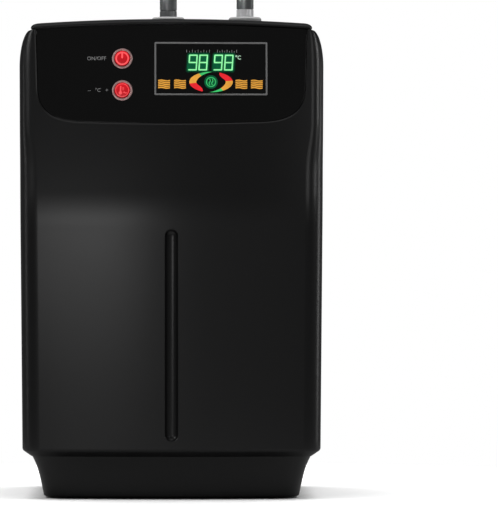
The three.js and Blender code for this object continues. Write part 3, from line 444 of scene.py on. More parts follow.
def prism(name, rings):
    """A solid along Y through (x, z) outlines of as many points, each at its own depth."""
    count = len(rings[0][0])
    points = [(x, y, z) for outline, y in rings for x, z in outline]
    ends = [tuple(range(count)), tuple(range(count * (len(rings) - 1), count * len(rings)))]
    return add_mesh(name, points, ends + bands(count, len(rings)))


def bar(outline, near, far, flare=0.0):
    """A bar along Y, wider by flare at its far end, which chamfers the hole that it cuts."""
    rings = [(outline, near), (outline, far - flare)]
    if flare:
        rings.append((grow_outline(outline, flare * 2), far + flare))
    return prism("bar", rings)


def lathe(name, profile, sides=many_sides, place=None):
    """A closed turned solid from (radius, height) points that start and end on the axis, or close."""
    points, faces, rings = [], [], []
    for radius, height in profile:
        ring = circle(0, 0, radius, sides) if radius > weld / 10 else [(0, 0)]
        rings.append(range(len(points), len(points) + len(ring)))
        points += [(x, y, height) for x, y in ring]
    for low, high in zip(rings, rings[1:]):
        for i in range(sides):
            j = (i + 1) % sides
            face = (low[i % len(low)], low[j % len(low)], high[j % len(high)], high[i % len(high)])
            faces.append(tuple(dict.fromkeys(face)))
    if place is not None:
        points = [place @ Vector(p) for p in points]
    return add_mesh(name, points, faces)


def turned(name, profile, rounds, sides=many_sides, place=None):
    """A turned solid whose corners are rounded first."""
    return lathe(name, rounded(profile, rounds), sides, place)


def tube(name, inner, outer, low, high, rounds, sides=many_sides, place=None):
    """A turned ring, whose corners count from its lower inner one outwards and up."""
    profile = [(inner, low), (outer, low), (outer, high), (inner, high), (inner, low)]
    return turned(name, profile, rounds, sides, place)


def rod(radius, low, high, place=None, sides=many_sides):
    """A plain round bar, to cut or to join with."""
    return lathe("rod", [(0, low), (radius, low), (radius, high), (0, high)], sides, place)


def block(name, low, high):
    corners = [(x, y, z) for x in (low[0], high[0]) for y in (low[1], high[1]) for z in (low[2], high[2])]
    faces = [(0, 1, 3, 2), (4, 6, 7, 5), (0, 4, 5, 1), (2, 3, 7, 6), (0, 2, 6, 4), (1, 5, 7, 3)]
    return add_mesh(name, corners, faces)


class Plot:
    """Points in (x, z) with a depth each, and the lines between them that the triangles keep."""

    def __init__(self):
        self.points, self.depths, self.lines = [], [], []

    def line(self, outline, depth, closed=True):
        first = len(self.points)
        self.points += outline
        self.depths += depth if isinstance(depth, list) else [depth] * len(outline)
        self.lines.append(list(range(first, len(self.points))) + [first] * closed)

    def dot(self, point, depth):
        self.points.append(point)
        self.depths.append(depth)

    def triangles(self, kept):
        """Delaunay triangles whose centres pass a test; the slivers are left out."""
        scale, sliver, tolerance = 1000, 1e-5, 1e-4
        flat = [Vector((x * scale, z * scale)) for x, z in self.points]
        edges = [pair for line in self.lines for pair in zip(line, line[1:])]
        found = delaunay_2d_cdt(flat, edges, [], 0, tolerance)
        faces = []
        for face in found[2]:
            ids = [found[3][i][0] for i in face]
            a, b, c = (flat[i] for i in ids)
            centre = tuple(sum(self.points[i][k] for i in ids) / len(ids) for k in range(2))
            if abs((b - a).cross(c - a)) / 2 > sliver and kept(centre):
                faces.append(tuple(ids))
        return faces


# Casing shells: loops at stops down the outside, under the ledge and up the inside

corner_steps = 10
side_steps = 3
back_steps = 12
station_step = 4.5 * MM
low_row, bend_row, high_row, groove_row = 7 * MM, 2.5 * MM, 6 * MM, 6 * MM
shoulder_rows = 14
seam_row = shoulder_top + MM
shelf_width = 8 * MM
shelf_thickness = 3.8 * MM
shelf_top = plinth_top + shelf_thickness
recess_floor = panel_recess + panel_thickness + panel_gap
recess_draft = 0.05 * MM
groove_margin = 1.2 * MM
edge_margin, groove_clearance, brink_clearance = 1.5 * MM, 2 * MM, 1.6 * MM
pad_corner, pocket_corner, inlet_hole_corner = 4 * MM, 2 * MM, MM
vent_corner_share = 0.45


def cubic(points, t):
    """A point on a cubic curve through four control points."""
    weights = [(1 - t) ** 3, 3 * t * (1 - t) ** 2, 3 * t ** 2 * (1 - t), t ** 3]
    return tuple(sum(w * p[i] for w, p in zip(weights, points)) for i in range(2))


def panel_edge(grow):
    """The panel's edge, moved out by grow: from its top left end down and round to its top right end."""
    steps, rows, tries = 28, 8, 6
    side = panel_side_half_width + grow
    side_rise = lid_crown + panel_top_rise - panel_side_height
    slope = (panel_top_half_width - panel_side_half_width) / side_rise
    bottom = panel_bottom - grow
    corner_z = bottom + panel_bottom_rise
    turn_z = corner_z + (panel_side_height - corner_z) / 3
    top_z = shoulder_top
    for _ in range(tries):
        top_z = seam_at(side + slope * (top_z - panel_side_height))
    shares = even(0, 1, steps)[:-1]
    right = [(panel_corner_half_width * t, bottom + panel_bottom_rise * t ** 2) for t in shares]
    corner = [(panel_corner_half_width, corner_z), (side * panel_turn_share, corner_z), (side, turn_z),
              (side, panel_side_height)]
    right += [cubic(corner, t) for t in shares]
    rise = top_z - panel_side_height
    right += [(side + slope * lift, panel_side_height + lift) for lift in even(0, rise, rows)]
    return [(-x, z) for x, z in right[:0:-1]] + right


def recess_rings():
    """(edge, depth) from the recess's chamfered brink to its floor."""
    return [(panel_edge(panel_gap + recess_chamfer), 0.0), (panel_edge(panel_gap), recess_chamfer_depth),
            (panel_edge(panel_gap - recess_draft), recess_floor)]


groove_ends = groove_bottom + groove_width / 2, groove_top - groove_width / 2


def stadium(radius):
    """A closed outline round the groove's middle line, anticlockwise."""
    rows, steps = 24, 20
    low, high = groove_ends
    return ([(radius, z) for z in even(low, high, rows)[:-1]]
            + polar(0, high, radius, even(0, math.pi, steps)[:-1])
            + [(-radius, z) for z in even(high, low, rows)[:-1]]
            + polar(0, low, radius, even(math.pi, 2 * math.pi, steps)[:-1]))


def groove_rings():
    """(outline, depth) from the groove's brink to near its bottom: a round bottom and a rounded brink."""
    brink_steps, bottom_steps = 5, 8
    half = groove_width / 2
    radius = (half ** 2 + groove_depth ** 2) / (2 * groove_depth)
    centre = groove_depth - radius
    brink = math.sqrt((radius + groove_edge) ** 2 - (groove_edge - centre) ** 2)
    start = math.atan2(brink, groove_edge - centre)
    rings = [(stadium(brink + groove_margin), 0.0)]
    for a in even(0, start, brink_steps):
        rings.append((stadium(brink - groove_edge * math.sin(a)), groove_edge * (1 - math.cos(a))))
    for a in even(start, 0, bottom_steps)[1:-1]:
        rings.append((stadium(radius * math.sin(a)), radius * math.cos(a) + centre))
    return rings


def cover_rows(bottom):
    """Heights of the casing's rows from a bottom up to just below the seam."""
    rows = spread(bottom, bend_start, low_row) + spread(bend_start, bend_end, bend_row)
    rows += spread(bend_end, shoulder_start, high_row)
    turns = even(0, math.pi / 2, shoulder_rows)[:-2]
    return rows + [shoulder_start + shoulder_height * math.sin(a) for a in turns]


def casing_stops():
    """(height, inset) of each loop: height None is the seam."""
    ledge = [(0, shoulder_start), (0, ledge_top), (ledge_inset, plinth_top)]
    ledge = rounded(ledge, {1: ledge_round})[1:]
    outside = [(None, 0.0)] + [(z, 0.0) for z in reversed(cover_rows(ledge[0][1]))]
    under = [(z, inset) for inset, z in ledge[1:]]
    shelf_inset = ledge_inset + shelf_width
    shelf = [(plinth_top, shelf_inset), (shelf_top, shelf_inset), (shelf_top, wall)]
    within = [(z, wall) for z in cover_rows(shelf_top + wall) if z < shoulder_top - wall]
    return outside, under + shelf + within + [(None, wall)]


def front_corner(z):
    """The front corners are fuller below the control panel than beside it."""
    share = share_of(z, panel_bottom, corner_settle)
    return corner_radius + (low_corner_radius - corner_radius) * share ** 2 * (3 - 2 * share)


def loop_sizes(height, inset, rear=False):
    level = shoulder_top if height is None else height
    half = half_width_at(level)
    corner = corner_radius if rear else front_corner(level)
    draw = half_width - half if level > shoulder_start else 0.0
    radius = max(corner - draw - inset, smallest_corner)
    bow = front_bow - inset
    centre_x = half - inset - radius
    return half - inset, radius, bow, centre_x, math.asin(centre_x / (bow - radius))


def front_edge(height):
    """Where the bowed front meets the corner."""
    _, _, bow, _, meeting = loop_sizes(height, 0.0)
    return bow * math.sin(meeting)


def heights(height):
    return seam_at if height is None else lambda x: height


def front_loop(height, inset, stations, depths):
    """From the split on the left, round the front, to the split on the right."""
    _, radius, bow, centre_x, meeting = loop_sizes(height, inset)
    at = heights(height)
    scale = bow * math.sin(meeting) / front_edge(None)
    back = bow - math.sqrt((bow - radius) ** 2 - centre_x ** 2)
    right = []
    for angle in even(meeting, math.pi / 2, corner_steps):
        x = centre_x + radius * math.sin(angle)
        right.append((x, front_at(at(x)) + inset + back - radius * math.cos(angle), at(x)))
    x, y, z = right[-1]
    right += [(x, side_y, z) for side_y in even(y, split_y, side_steps)[1:]]
    middle = []
    for station, depth in zip(stations, depths):
        x = station * scale
        extra = depth if height is None and not inset else 0.0
        middle.append((x, front_at(at(x)) + inset + bow_drop(x, inset) + extra, at(x)))
    return [(-x, y, z) for x, y, z in reversed(right)] + middle + right


def rear_loop(height, inset):
    """From the split on the right, round the back, to the split on the left."""
    reach, radius, _, centre_x, _ = loop_sizes(height, inset, rear=True)
    at = heights(height)
    centre_y = back_y - inset - radius
    right = [(reach, y) for y in even(split_y, centre_y, side_steps)[:-1]]
    for angle in (math.pi / 2 * share for share in even(1, 0, corner_steps)):
        right.append((centre_x + radius * math.sin(angle), centre_y + radius * math.cos(angle)))
    middle = [(centre_x * share, back_y - inset) for share in even(1, -1, back_steps)[1:-1]]
    return [(x, y, at(x)) for x, y in right + middle + [(-x, y) for x, y in reversed(right)]]


def shell_faces(loops, opening=((0, 0), (0, 0))):
    """Quads between loops, the last joined to the first, but for an opening, and a face over each end."""
    (first_loop, last_loop), (first, last) = opening
    count = len(loops[0])
    faces = []
    for k in range(len(loops)):
        low, high = k * count, (k + 1) % len(loops) * count
        for i in range(count - 1):
            if not (first_loop <= k < last_loop and first <= i < last):
                faces.append((low + i, low + i + 1, high + i + 1, high + i))
    ends = [tuple(k * count + end for k in range(len(loops))) for end in (0, count - 1)]
    return faces + ends


def plot_cover(plot, stations, depths, rows, inner):
    """Lines and points over the cover's front, and the outline that they fill."""
    recess, groove = recess_rings(), groove_rings()
    bottom, top_x = rows[0], front_edge(None)
    side = [(front_edge(z), z) for z in rows] + [(top_x, seam_at(top_x))]
    low = [(x * front_edge(bottom) / top_x, bottom) for x in stations]
    top = [(x, seam_at(x)) for x in reversed(stations)]
    outline = [(-x, z) for x, z in side[::-1]] + low + side + top
    plot.line(outline, [0.0] * (len(side) * 2 + len(low)) + depths[::-1])
    for edge, depth in recess:
        plot.line(edge, depth, closed=False)
    for ring, depth in groove:
        plot.line(ring, depth)
    middle = spread(*groove_ends, groove_row) + [groove_ends[1]]
    plot.line([(0.0, z) for z in middle], groove_depth, closed=False)
    brink, groove_brink = recess[0][0], groove[0][0]
    end = brink[-1][0]
    floor = recess[-1][0] + [(end, crown_top), (-end, crown_top)]
    for z in rows[1:] + [seam_row]:
        for x in inner:
            clear = z <= seam_at(x) - edge_margin
            clear = clear and abs(x) <= front_edge(min(z, shoulder_top)) - edge_margin
            clear = clear and distance_to((x, z), groove_brink) >= groove_clearance
            clear = clear and not inside((x, z), groove_brink)
            if clear and distance_to((x, z), brink, closed=False) >= brink_clearance:
                plot.dot((x, z), recess_floor if inside((x, z), floor) else 0.0)
    return outline


def make_front_cover():
    outside, rest = casing_stops()
    depth_at = {edge[-1][0]: depth for edge, depth in recess_rings()}
    ends = list(depth_at)
    limit = min(ends) - station_step / 2
    inner = spread(-limit, limit, station_step) + [limit]
    stations = sorted(inner + ends + [-x for x in ends])
    depths = [depth_at.get(abs(x), recess_floor) for x in stations]
    plot = Plot()
    rows = [height for height, _ in outside[:0:-1]]
    outline = plot_cover(plot, stations, depths, rows, inner)
    sheet = plot.triangles(lambda centre: inside(centre, outline))
    loops = [front_loop(height, inset, stations, depths) for height, inset in outside + rest]
    first = corner_steps + side_steps
    faces = shell_faces(loops, ((0, len(outside) - 1), (first, len(loops[0]) - 1 - first)))
    solid = [point for loop in loops for point in loop]
    faces += [tuple(len(solid) + i for i in face) for face in sheet]
    solid += [on_face(x, z, depth) for (x, z), depth in zip(plot.points, plot.depths)]
    return add_mesh("cover_shell", solid, faces)


def button_place(kind):
    return front_frame(button_x, button_heights[kind])


def display_outline(shrink, corner=None):
    """The display's frame, drawn in by shrink, with corners of their own or ones that follow it."""
    return rectangle(display_left + shrink, display_bottom + shrink, display_right - shrink,
                     display_top - shrink, corner or max(display_corner - shrink, small_round))


def cut_cover(shell):
    """The button holes and the display's opening, through the recess's floor."""
    cutters = [rod(button_hole_radius, -3 * wall, wall, button_place(kind)) for kind in button_heights]
    opening = display_outline(display_frame_width + display_ledge, display_corner)
    cutters.append(bar(opening, front_y - wall, split_y / 2))
    return true_front(boolean(shell, cutters, angle=cover_crease))


def along_y(x, z):
    """A place whose Z axis points back along +Y."""
    return Matrix.Translation((x, 0, z)) @ Matrix.Rotation(-math.pi / 2, 4, "X")


post_places = []
for post_z in (plinth_top + post_lift, lid_crown - post_drop):
    post_x = half_width_at(post_z) - wall - post_radius - post_stand_off
    post_places += [(-post_x, post_z), (post_x, post_z)]


def inlet_outline(width, height, grow, radius, x=inlet_x, z=inlet_z):
    return rectangle(x - width / 2 - grow, z - height / 2 - grow,
                     x + width / 2 + grow, z + height / 2 + grow, radius)


def make_rear_casing():
    outside, rest = casing_stops()
    loops = [rear_loop(height, inset) for height, inset in outside + rest]
    shell = add_mesh("rear_shell", [point for loop in loops for point in loop], shell_faces(loops))
    posts, wells = [], []
    for x, z in post_places:
        posts.append(rod(post_radius, split_y, back_y - wall / 2, along_y(x, z), few_sides))
        brink = well_radius + well_edge
        well = [(0, screw_seat_y), (well_radius, screw_seat_y), (well_radius, back_y - well_edge),
                (brink, back_y), (brink, back_y + wall), (0, back_y + wall)]
        wells.append(lathe("well", well, few_sides, along_y(x, z)))
    flange = inlet_flange_width, inlet_flange_height
    pad = inlet_outline(*flange, inlet_pocket_margin + wall, pad_corner)
    shell = boolean(shell, posts + [bar(pad, inlet_face_y - wall, back_y - wall / 2)], "UNION")
    pocket = inlet_outline(*flange, inlet_pocket_margin, pocket_corner)
    hole = inlet_outline(inlet_body_width, inlet_body_height, panel_gap, inlet_hole_corner)
    cutters = wells + [bar(pocket, inlet_face_y, back_y, vent_edge),
                       bar(hole, inlet_face_y - 2 * wall, inlet_face_y + overcut)]
    for i in range(vent_count):
        low = vent_bottom + i * vent_pitch
        slot = rectangle(-vent_half_width, low, vent_half_width, low + vent_height,
                         vent_height * vent_corner_share)
        cutters.append(bar(slot, back_y - 2 * wall, back_y, vent_edge))
    return boolean(shell, cutters)


# Closed loops for the lid, plinth and base plate

def plan_loop(half, corner, inset, height_at):
    """Bowed in front and straight behind, with as many points along the front as along the back."""
    radius = max(corner - inset, smallest_corner)
    bow = front_bow - inset
    centre_x = half - inset - radius
    setback = bow - math.sqrt((bow - radius) ** 2 - centre_x ** 2)
    meeting = math.asin(centre_x / (bow - radius))
    edge = bow * math.sin(meeting)
    near = [(x, bow_drop(x, inset)) for x in even(0, edge, plan_steps)[1:-1]]
    far = [(x, 0.0) for x in even(0, centre_x, plan_steps)[1:-1]]
    for a in even(meeting, math.pi / 2, corner_steps):
        near.append((centre_x + radius * math.sin(a), setback - radius * math.cos(a)))
    for a in even(0, math.pi / 2, corner_steps):
        far.append((centre_x + radius * math.sin(a), radius * math.cos(a) - radius))
    near, far = ([(-x, y) for x, y in reversed(half_way)] + [(0.0, 0.0)] + half_way
                 for half_way in (near, far))
    front = [(x, front_at(height_at(x)) + inset + y, height_at(x)) for x, y in near]
    return front + [(x, back_y - inset + y, height_at(x)) for x, y in reversed(far)]


def closed_form(name, loops):
    """A solid through closed loops, with a cap of strips on its first and on its last loop."""
    count = len(loops[0])
    faces = bands(count, len(loops))
    for base in (0, (len(loops) - 1) * count):
        for i in range(count // 2 - 1):
            faces.append((base + i, base + i + 1, base + count - 2 - i, base + count - 1 - i))
    return add_mesh(name, [point for loop in loops for point in loop], faces)


def at_floor(x, y):
    return Matrix.Translation((x, y, 0))


def pipe_place(kind):
    return at_floor(pipe_places[kind], pipe_y)


def make_lid():
    steps = 10
    top, under = shadow_gap + rim_band, shadow_gap
    lip = wall + panel_gap
    profile = [(rim_round_inset * (1 - math.cos(a)), top - rim_round_drop * (1 - math.sin(a)))
               for a in even(math.pi / 2, 0, steps)]
    profile += rounded([(0, top), (0, under), (lid_step_inset, under)], {1: lid_under_round})[1:]
    profile += [(lid_step_inset, panel_gap), (lip, panel_gap), (lip, under - lip_depth),
                (lip + lip_width, under - lip_depth), (lip + lip_width, panel_gap)]
    corner = corner_radius - half_width + rim_half_width
    loops = [plan_loop(rim_half_width, corner, inset, lambda x, lift=lift: seam_at(x) + lift)
             for inset, lift in profile]
    pad = [(0, pad_bottom), (pad_radius, pad_bottom), (pad_radius, pad_top), (0, pad_top)]
    low, high = pad_bottom - overcut, pad_top + overcut
    pads, holes = [], []
    for kind in pipe_places:
        pads.append(turned("pad", pad, {2: small_round}, fine_sides, pipe_place(kind)))
        holes.append(rod(pipe_radius + panel_gap, low, high, pipe_place(kind)))
    return boolean(boolean(closed_form("lid_cap", loops), pads, "UNION"), holes)


def plinth_inset(z):
    share = z / plinth_top
    return ledge_inset + plinth_taper * (1 - share) + plinth_flare * (1 - share ** 4)


def plinth_loop(z, extra, inset=None):
    drawn = (plinth_inset(z) if inset is None else inset) + extra
    radius = max(plinth_corner - extra, smallest_corner)
    return plan_loop(base_half_width, radius + drawn, drawn, lambda x: z)


def make_plinth():
    edge = rounded([(0, plinth_top), (0, plinth_foot), (plinth_wall, plinth_foot)], {1: plinth_edge})[1:]
    deck = plinth_top - deck_thickness
    stops = [(z, 0.0) for z in even(plinth_top, edge[0][1], plinth_rows)[:-1]]
    stops += [(z, extra) for extra, z in edge]
    stops += [(z, plinth_wall) for z in even(plinth_foot, deck, plinth_rows)[1:]]
    form = closed_form("plinth_foot", [plinth_loop(z, extra) for z, extra in stops])
    posts = [rod(post_radius, base_plate_top, deck + overcut, at_floor(x, y), few_sides)
             for x, y in base_screw_places]
    drain = rod(drain_hole_radius, deck - overcut, plinth_top + overcut)
    return boolean(boolean(form, posts, "UNION"), [drain])


def make_base_plate():
    inset = plinth_inset(0) + base_plate_gap
    rim = rounded([(plinth_wall, base_plate_top), (0, base_plate_top), (0, base_plate_bottom),
                   (plinth_wall, base_plate_bottom)], {1: edge_round, 2: edge_round})
    plate = closed_form("floor_plate", [plinth_loop(z, plinth_wall + extra, inset) for extra, z in rim])
    rounds = [(0, 0, drain_access_radius)]
    rounds += [(x, y, foot_peg_radius + panel_gap) for x, y in foot_places]
    rounds += [(x, y, screw_shank_radius + panel_gap) for x, y in base_screw_places]
    low, high = base_plate_bottom - overcut, base_plate_top + overcut
    return boolean(plate, [rod(radius, low, high, at_floor(x, y), peg_sides) for x, y, radius in rounds])


# Sheets that follow the bowed, leaning front

def sheet_solid(name, rings, holes, face_depth):
    """A sheet of the panel's thickness. Each brink is a list of (outline, depth) rings, the outermost
    first; rings are the outer brink and holes the inner ones, whose own first ring is the hole itself."""
    plot = Plot()
    brinks = [rings] + holes
    for outline, depth in (ring for brink in brinks for ring in brink):
        plot.line(outline, depth)
    outer = rings[0][0]

    def clear(point, brink, wanted):
        edge = brink[-1][0]
        return inside(point, edge) == wanted and distance_to(point, edge) > sheet_margin

    across, upward = ([p[k] for p in outer] for k in range(2))
    for x in spread(min(across), max(across), sheet_step)[1:]:
        for z in spread(min(upward), max(upward), 2 * sheet_step)[1:]:
            if clear((x, z), rings, True) and all(clear((x, z), hole, False) for hole in holes):
                plot.dot((x, z), face_depth)
    faces = plot.triangles(lambda centre: inside(centre, outer)
                           and not any(inside(centre, hole[0][0]) for hole in holes))
    count, first = len(plot.points), 0
    solid = [on_face(x, z, depth) for (x, z), depth in zip(plot.points, plot.depths)]
    solid += [on_face(x, z, panel_recess + panel_thickness) for x, z in plot.points]
    walls = [tuple(count + i for i in face) for face in faces]
    for brink in brinks:
        size = len(brink[0][0])
        for i in range(size):
            here, beside = first + i, first + (i + 1) % size
            walls.append((here, beside, count + beside, count + here))
        first += size * len(brink)
    return add_mesh(name, solid, faces + walls)


def rounded_brink(outline, face_depth, edge, hole=False):
    """Rings over a rounded edge, from the outline itself to where the face is level."""
    steps = 4
    rings = [(outline, face_depth + edge)]
    for a in even(0, math.pi / 2, steps)[1:]:
        step_in = edge * (1 - math.cos(a))
        ring = grow_outline(outline, step_in if hole else -step_in)
        rings.append((ring, face_depth + edge * (1 - math.sin(a))))
    return rings


def button_outline(kind, radius):
    """A round button's edge in (x, z), as its leaning circle is seen from straight ahead."""
    steps = 72
    around = [button_place(kind) @ Vector((x, y, 0)) for x, y in circle(0, 0, radius, steps)]
    return [(p.x, p.z) for p in around]


def make_panel():
    edge = panel_edge(0.0)
    top = [(x, seam_at(x)) for x in spread(edge[0][0], edge[-1][0], sheet_step)[1:]]
    hole_radius = button_ring_radius + ring_gap
    openings = [display_outline(-display_gap)]
    openings += [button_outline(kind, hole_radius) for kind in button_heights]
    holes = [rounded_brink(opening, panel_recess, small_edge, hole=True) for opening in openings]
    rings = rounded_brink(edge + top[::-1], panel_recess, panel_edge_round)
    return true_front(sheet_solid("gloss_fascia", rings, holes, panel_recess), panel_recess)


def make_display_frame():
    face = panel_recess - display_frame_proud
    inner = rounded_brink(display_outline(display_frame_width), face, small_edge, hole=True)
    return sheet_solid("display_trim", rounded_brink(display_outline(0), face, small_edge), [inner], face)


def make_display_window():
    rings = rounded_brink(display_outline(display_frame_width + display_gap), panel_recess, small_edge)
    return true_front(sheet_solid("display_lens", rings, [], panel_recess), panel_recess)


# Thin marks: each is a list of strips, and a strip is two edges of (u, v) points and whether it closes

mark_sink = 0.08 * MM
mark_lift = 0.03 * MM
halo_lift = 0.015 * MM
faint_halo_lift = 0.008 * MM
stroke_step = 0.8 * MM
disc_steps, pill_steps, annulus_steps = 32, 8, 64


def inlay(name, strips, place, lift):
    """Thin solids from just below a surface to lift above it; place maps u, v and height to a point."""
    points, faces = [], []
    for near, far, closed in strips:
        count, top = len(near), len(points)
        low = top + 2 * count
        for height in (lift, -mark_sink):
            points += [place(u, v, height) for u, v in near + far]
        for i in range(count if closed else count - 1):
            j = (i + 1) % count
            faces.append((top + i, top + j, top + count + j, top + count + i))
            faces.append((low + i, low + count + i, low + count + j, low + j))
            faces.append((low + i, low + j, top + j, top + i))
            faces.append((low + count + i, top + count + i, top + count + j, low + count + j))
        if not closed:
            faces += [(i, i + count, i + 3 * count, i + 2 * count) for i in (top, top + count - 1)]
    return add_mesh(name, points, faces)


def on_panel(u, v, height):
    """Places marks on the panel's face."""
    return on_face(u, v, panel_recess - height)


def on_cap(kind):
    """Places marks on a button's domed cap."""
    place = button_place(kind)
    flat = button_ring_radius - button_ring_width - panel_gap - button_edge
    base = panel_face + button_cap_proud
    return lambda u, v, height: place @ Vector(
        (u, v, base + button_dome * (1 - min(1, math.hypot(u, v) / flat) ** 2) + height))


def stroke(path, width):
    """A strip of one width along a path, with round ends."""
    half = width / 2
    points = [Vector(path[0])]
    for start, end in zip(path, path[1:]):
        reach = Vector(end) - Vector(start)
        count = max(1, math.ceil(reach.length / stroke_step))
        points += [Vector(start) + reach * (i + 1) / count for i in range(count)]
    lead = (points[1] - points[0]).normalized()
    tail = (points[-1] - points[-2]).normalized()
    turns = even(0, math.pi / 2, round_steps)[:-1]
    stations = [(points[0] - lead * half * math.cos(a), lead, half * math.sin(a)) for a in turns]
    for i, here in enumerate(points):
        before, after = points[max(0, i - 1)], points[min(len(points) - 1, i + 1)]
        stations.append((here, (after - before).normalized(), half))
    stations += [(points[-1] + tail * half * math.cos(a), tail, half * math.sin(a)) for a in turns[::-1]]
    left, right = ([tuple(p + Vector((-d.y, d.x)) * reach * side) for p, d, reach in stations]
                   for side in (1, -1))
    return left, right, False


def annulus(u, v, outer, inner, steps=annulus_steps):
    return circle(u, v, outer, steps), circle(u, v, inner, steps), True


def disc(u, v, radius):
    """A filled round spot, as a strip between its left and right halves."""
    turns = even(0, math.pi, disc_steps)
    left, right = ([(u + side * radius * math.sin(a), v + radius * math.cos(a)) for a in turns]
                   for side in (-1, 1))
    return left, right, False


def pill(left, bottom, right, top, radius, steps=pill_steps):
    """A filled rectangle with round corners, as a strip from its top to its bottom."""
    turns = even(0, math.pi / 2, steps)
    rows = [(radius * (1 - math.sin(a)), top - radius * (1 - math.cos(a))) for a in turns]
    rows += [(radius * (1 - math.sin(a)), bottom + radius * (1 - math.cos(a))) for a in turns[::-1]]
    return [(left + inset, v) for inset, v in rows], [(right - inset, v) for inset, v in rows], False


# The lit display: four figures, a unit mark, a two-armed gauge, its icon and four heat icons

display_middle_x = (display_left + display_right) / 2
figure_lefts = [11.5 * MM, 18.7 * MM, 29.2 * MM, 36.6 * MM]
figures = "9898"
figure_bottom = 300 * MM
figure_width = 6.2 * MM
figure_height = 11.2 * MM
figure_slant = 0.07
figure_stroke = 0.95 * MM
figure_halo = 0.75 * MM
faint_halo = 1.6 * MM
segment_gap = 0.12 * MM
lit_segments = {"8": "abcdefg", "9": "abcdfg"}
segment_places = {"a": ((0, 2), (1, 2)), "b": ((1, 2), (1, 1)), "c": ((1, 1), (1, 0)),
                  "d": ((0, 0), (1, 0)), "e": ((0, 1), (0, 0)), "f": ((0, 2), (0, 1)),
                  "g": ((0, 1), (1, 1))}

unit_mark_x = 45.4 * MM
unit_mark_top = 310.6 * MM
unit_mark_height = 2.8 * MM
unit_ring_share, unit_line_share, unit_letter_share = 0.32, 0.3, 0.85
unit_letter_span, unit_letter_steps, unit_ring_steps = (50, 310), 16, 24

gauge_z = 291.9 * MM
gauge_half_width = 15.2 * MM
gauge_half_height = 7.2 * MM
gauge_band = 4.9 * MM
gauge_flatness = 0.62
gauge_tip_growth = 1.9
gauge_steps, curl_steps = 24, 12
gauge_blunt_share = 0.78
gauge_spans = {"green": (86, 124), "amber": (124, 188), "red": (188, 247)}
gauge_icon_radius = 3.5 * MM
gauge_icon_stroke = 0.65 * MM
icon_glow_radius = 1.35 * gauge_icon_radius
curl_offset = 0.26 * gauge_icon_radius
curl_wave = 0.12 * gauge_icon_radius
curl_height = 1.1 * gauge_icon_radius
curl_stroke = 0.9 * gauge_icon_stroke

heat_icon_lefts = [-9.3 * MM, 1.8 * MM, 44.8 * MM, 55.6 * MM]
heat_icon_width = 8.2 * MM
heat_icon_bottom = 287.4 * MM
heat_icon_lines = 5
heat_line_steps = 20
heat_line_pitch = 1.28 * MM
heat_line_width = 0.82 * MM
heat_line_wave = 0.28 * MM

scale_bottom = 312.7 * MM
scale_spans = [(10.6 * MM, 26.6 * MM), (32.2 * MM, 45.6 * MM)]
scale_ticks = 9
scale_tick_width = 0.35 * MM
scale_tick_heights = [1.9 * MM, 1.1 * MM]
tick_round, tick_steps = 0.3 * scale_tick_width, 3


def wave(start, width, middle, height, steps):
    """One turn of a sine line, from a start to the right."""
    return [(start + width * share, middle + height * math.sin(2 * math.pi * share))
            for share in even(0, 1, steps)]


def segment_ends(left, letter):
    """The two ends of one bar of a seven-bar figure."""
    half = figure_stroke / 2
    low, high = figure_bottom + half, figure_bottom + figure_height - half
    across, upward = (left + half, left + figure_width - half), (low, (low + high) / 2, high)
    return [(across[column], upward[row]) for column, row in segment_places[letter]]


def slanted(point):
    u, v = point
    return u + (v - figure_bottom) * figure_slant, v


def figure_strips():
    strips = []
    for left, figure in zip(figure_lefts, figures):
        for letter in lit_segments[figure]:
            start, end = (Vector(slanted(p)) for p in segment_ends(left, letter))
            trim = (end - start).normalized() * segment_gap
            strips.append(stroke([start + trim, end - trim], figure_stroke))
    return strips


def figure_halos(reach):
    """A dim glow round each figure."""
    strips = []
    for left in figure_lefts:
        near, far, closed = pill(left - reach, figure_bottom - reach, left + figure_width + reach,
                                 figure_bottom + figure_height + reach, reach + figure_stroke / 2)
        strips.append(([slanted(p) for p in near], [slanted(p) for p in far], closed))
    return strips


def unit_strips():
    """A degree ring and a C."""
    radius = unit_mark_height / 2
    ring, line = radius * unit_ring_share, radius * unit_line_share
    centre = unit_mark_x + 2 * ring + radius
    arc = [math.radians(a) for a in even(*unit_letter_span, unit_letter_steps)]
    letter = polar(centre, unit_mark_top - radius, radius * unit_letter_share, arc)
    outer, inner = ring + line / 2, ring - line / 2
    degree = annulus(unit_mark_x, unit_mark_top - ring, outer, inner, unit_ring_steps)
    return [degree, stroke(letter, line)]


def gauge_band_at(angle):
    """The band's width grows from nothing at the green tip and shrinks again at the red one."""
    share = share_of(angle, gauge_spans["green"][0], gauge_spans["red"][1])
    end = share_of(share, gauge_blunt_share, 1)
    return gauge_band * math.sin(math.pi / 2 * min(1, gauge_tip_growth * share)) * math.sqrt(1 - end ** 2)


def gauge_strips(colour):
    """One colour's stretch of both arms, which are half a turn apart."""
    strips = []
    for side in (1, -1):
        outer, inner = [], []
        for angle in even(*gauge_spans[colour], gauge_steps):
            a = math.radians(angle)
            for line, inset in ((outer, 0.0), (inner, gauge_band_at(angle))):
                u = (gauge_half_width - inset) * math.cos(a)
                v = (gauge_half_height - inset * gauge_flatness) * math.sin(a)
                line.append((display_middle_x + side * u, gauge_z + side * v))
        strips.append((outer, inner, False))
    return strips


def icon_strips():
    """A ring with two rising curls."""
    inner = gauge_icon_radius - gauge_icon_stroke
    strips = [annulus(display_middle_x, gauge_z, gauge_icon_radius, inner)]
    for side in (-1, 1):
        middle = display_middle_x + curl_offset * side
        curl = [(middle + curl_wave * math.sin(2 * math.pi * share), gauge_z + curl_height * share)
                for share in even(-0.5, 0.5, curl_steps)]
        strips.append(stroke(curl, curl_stroke))
    return strips


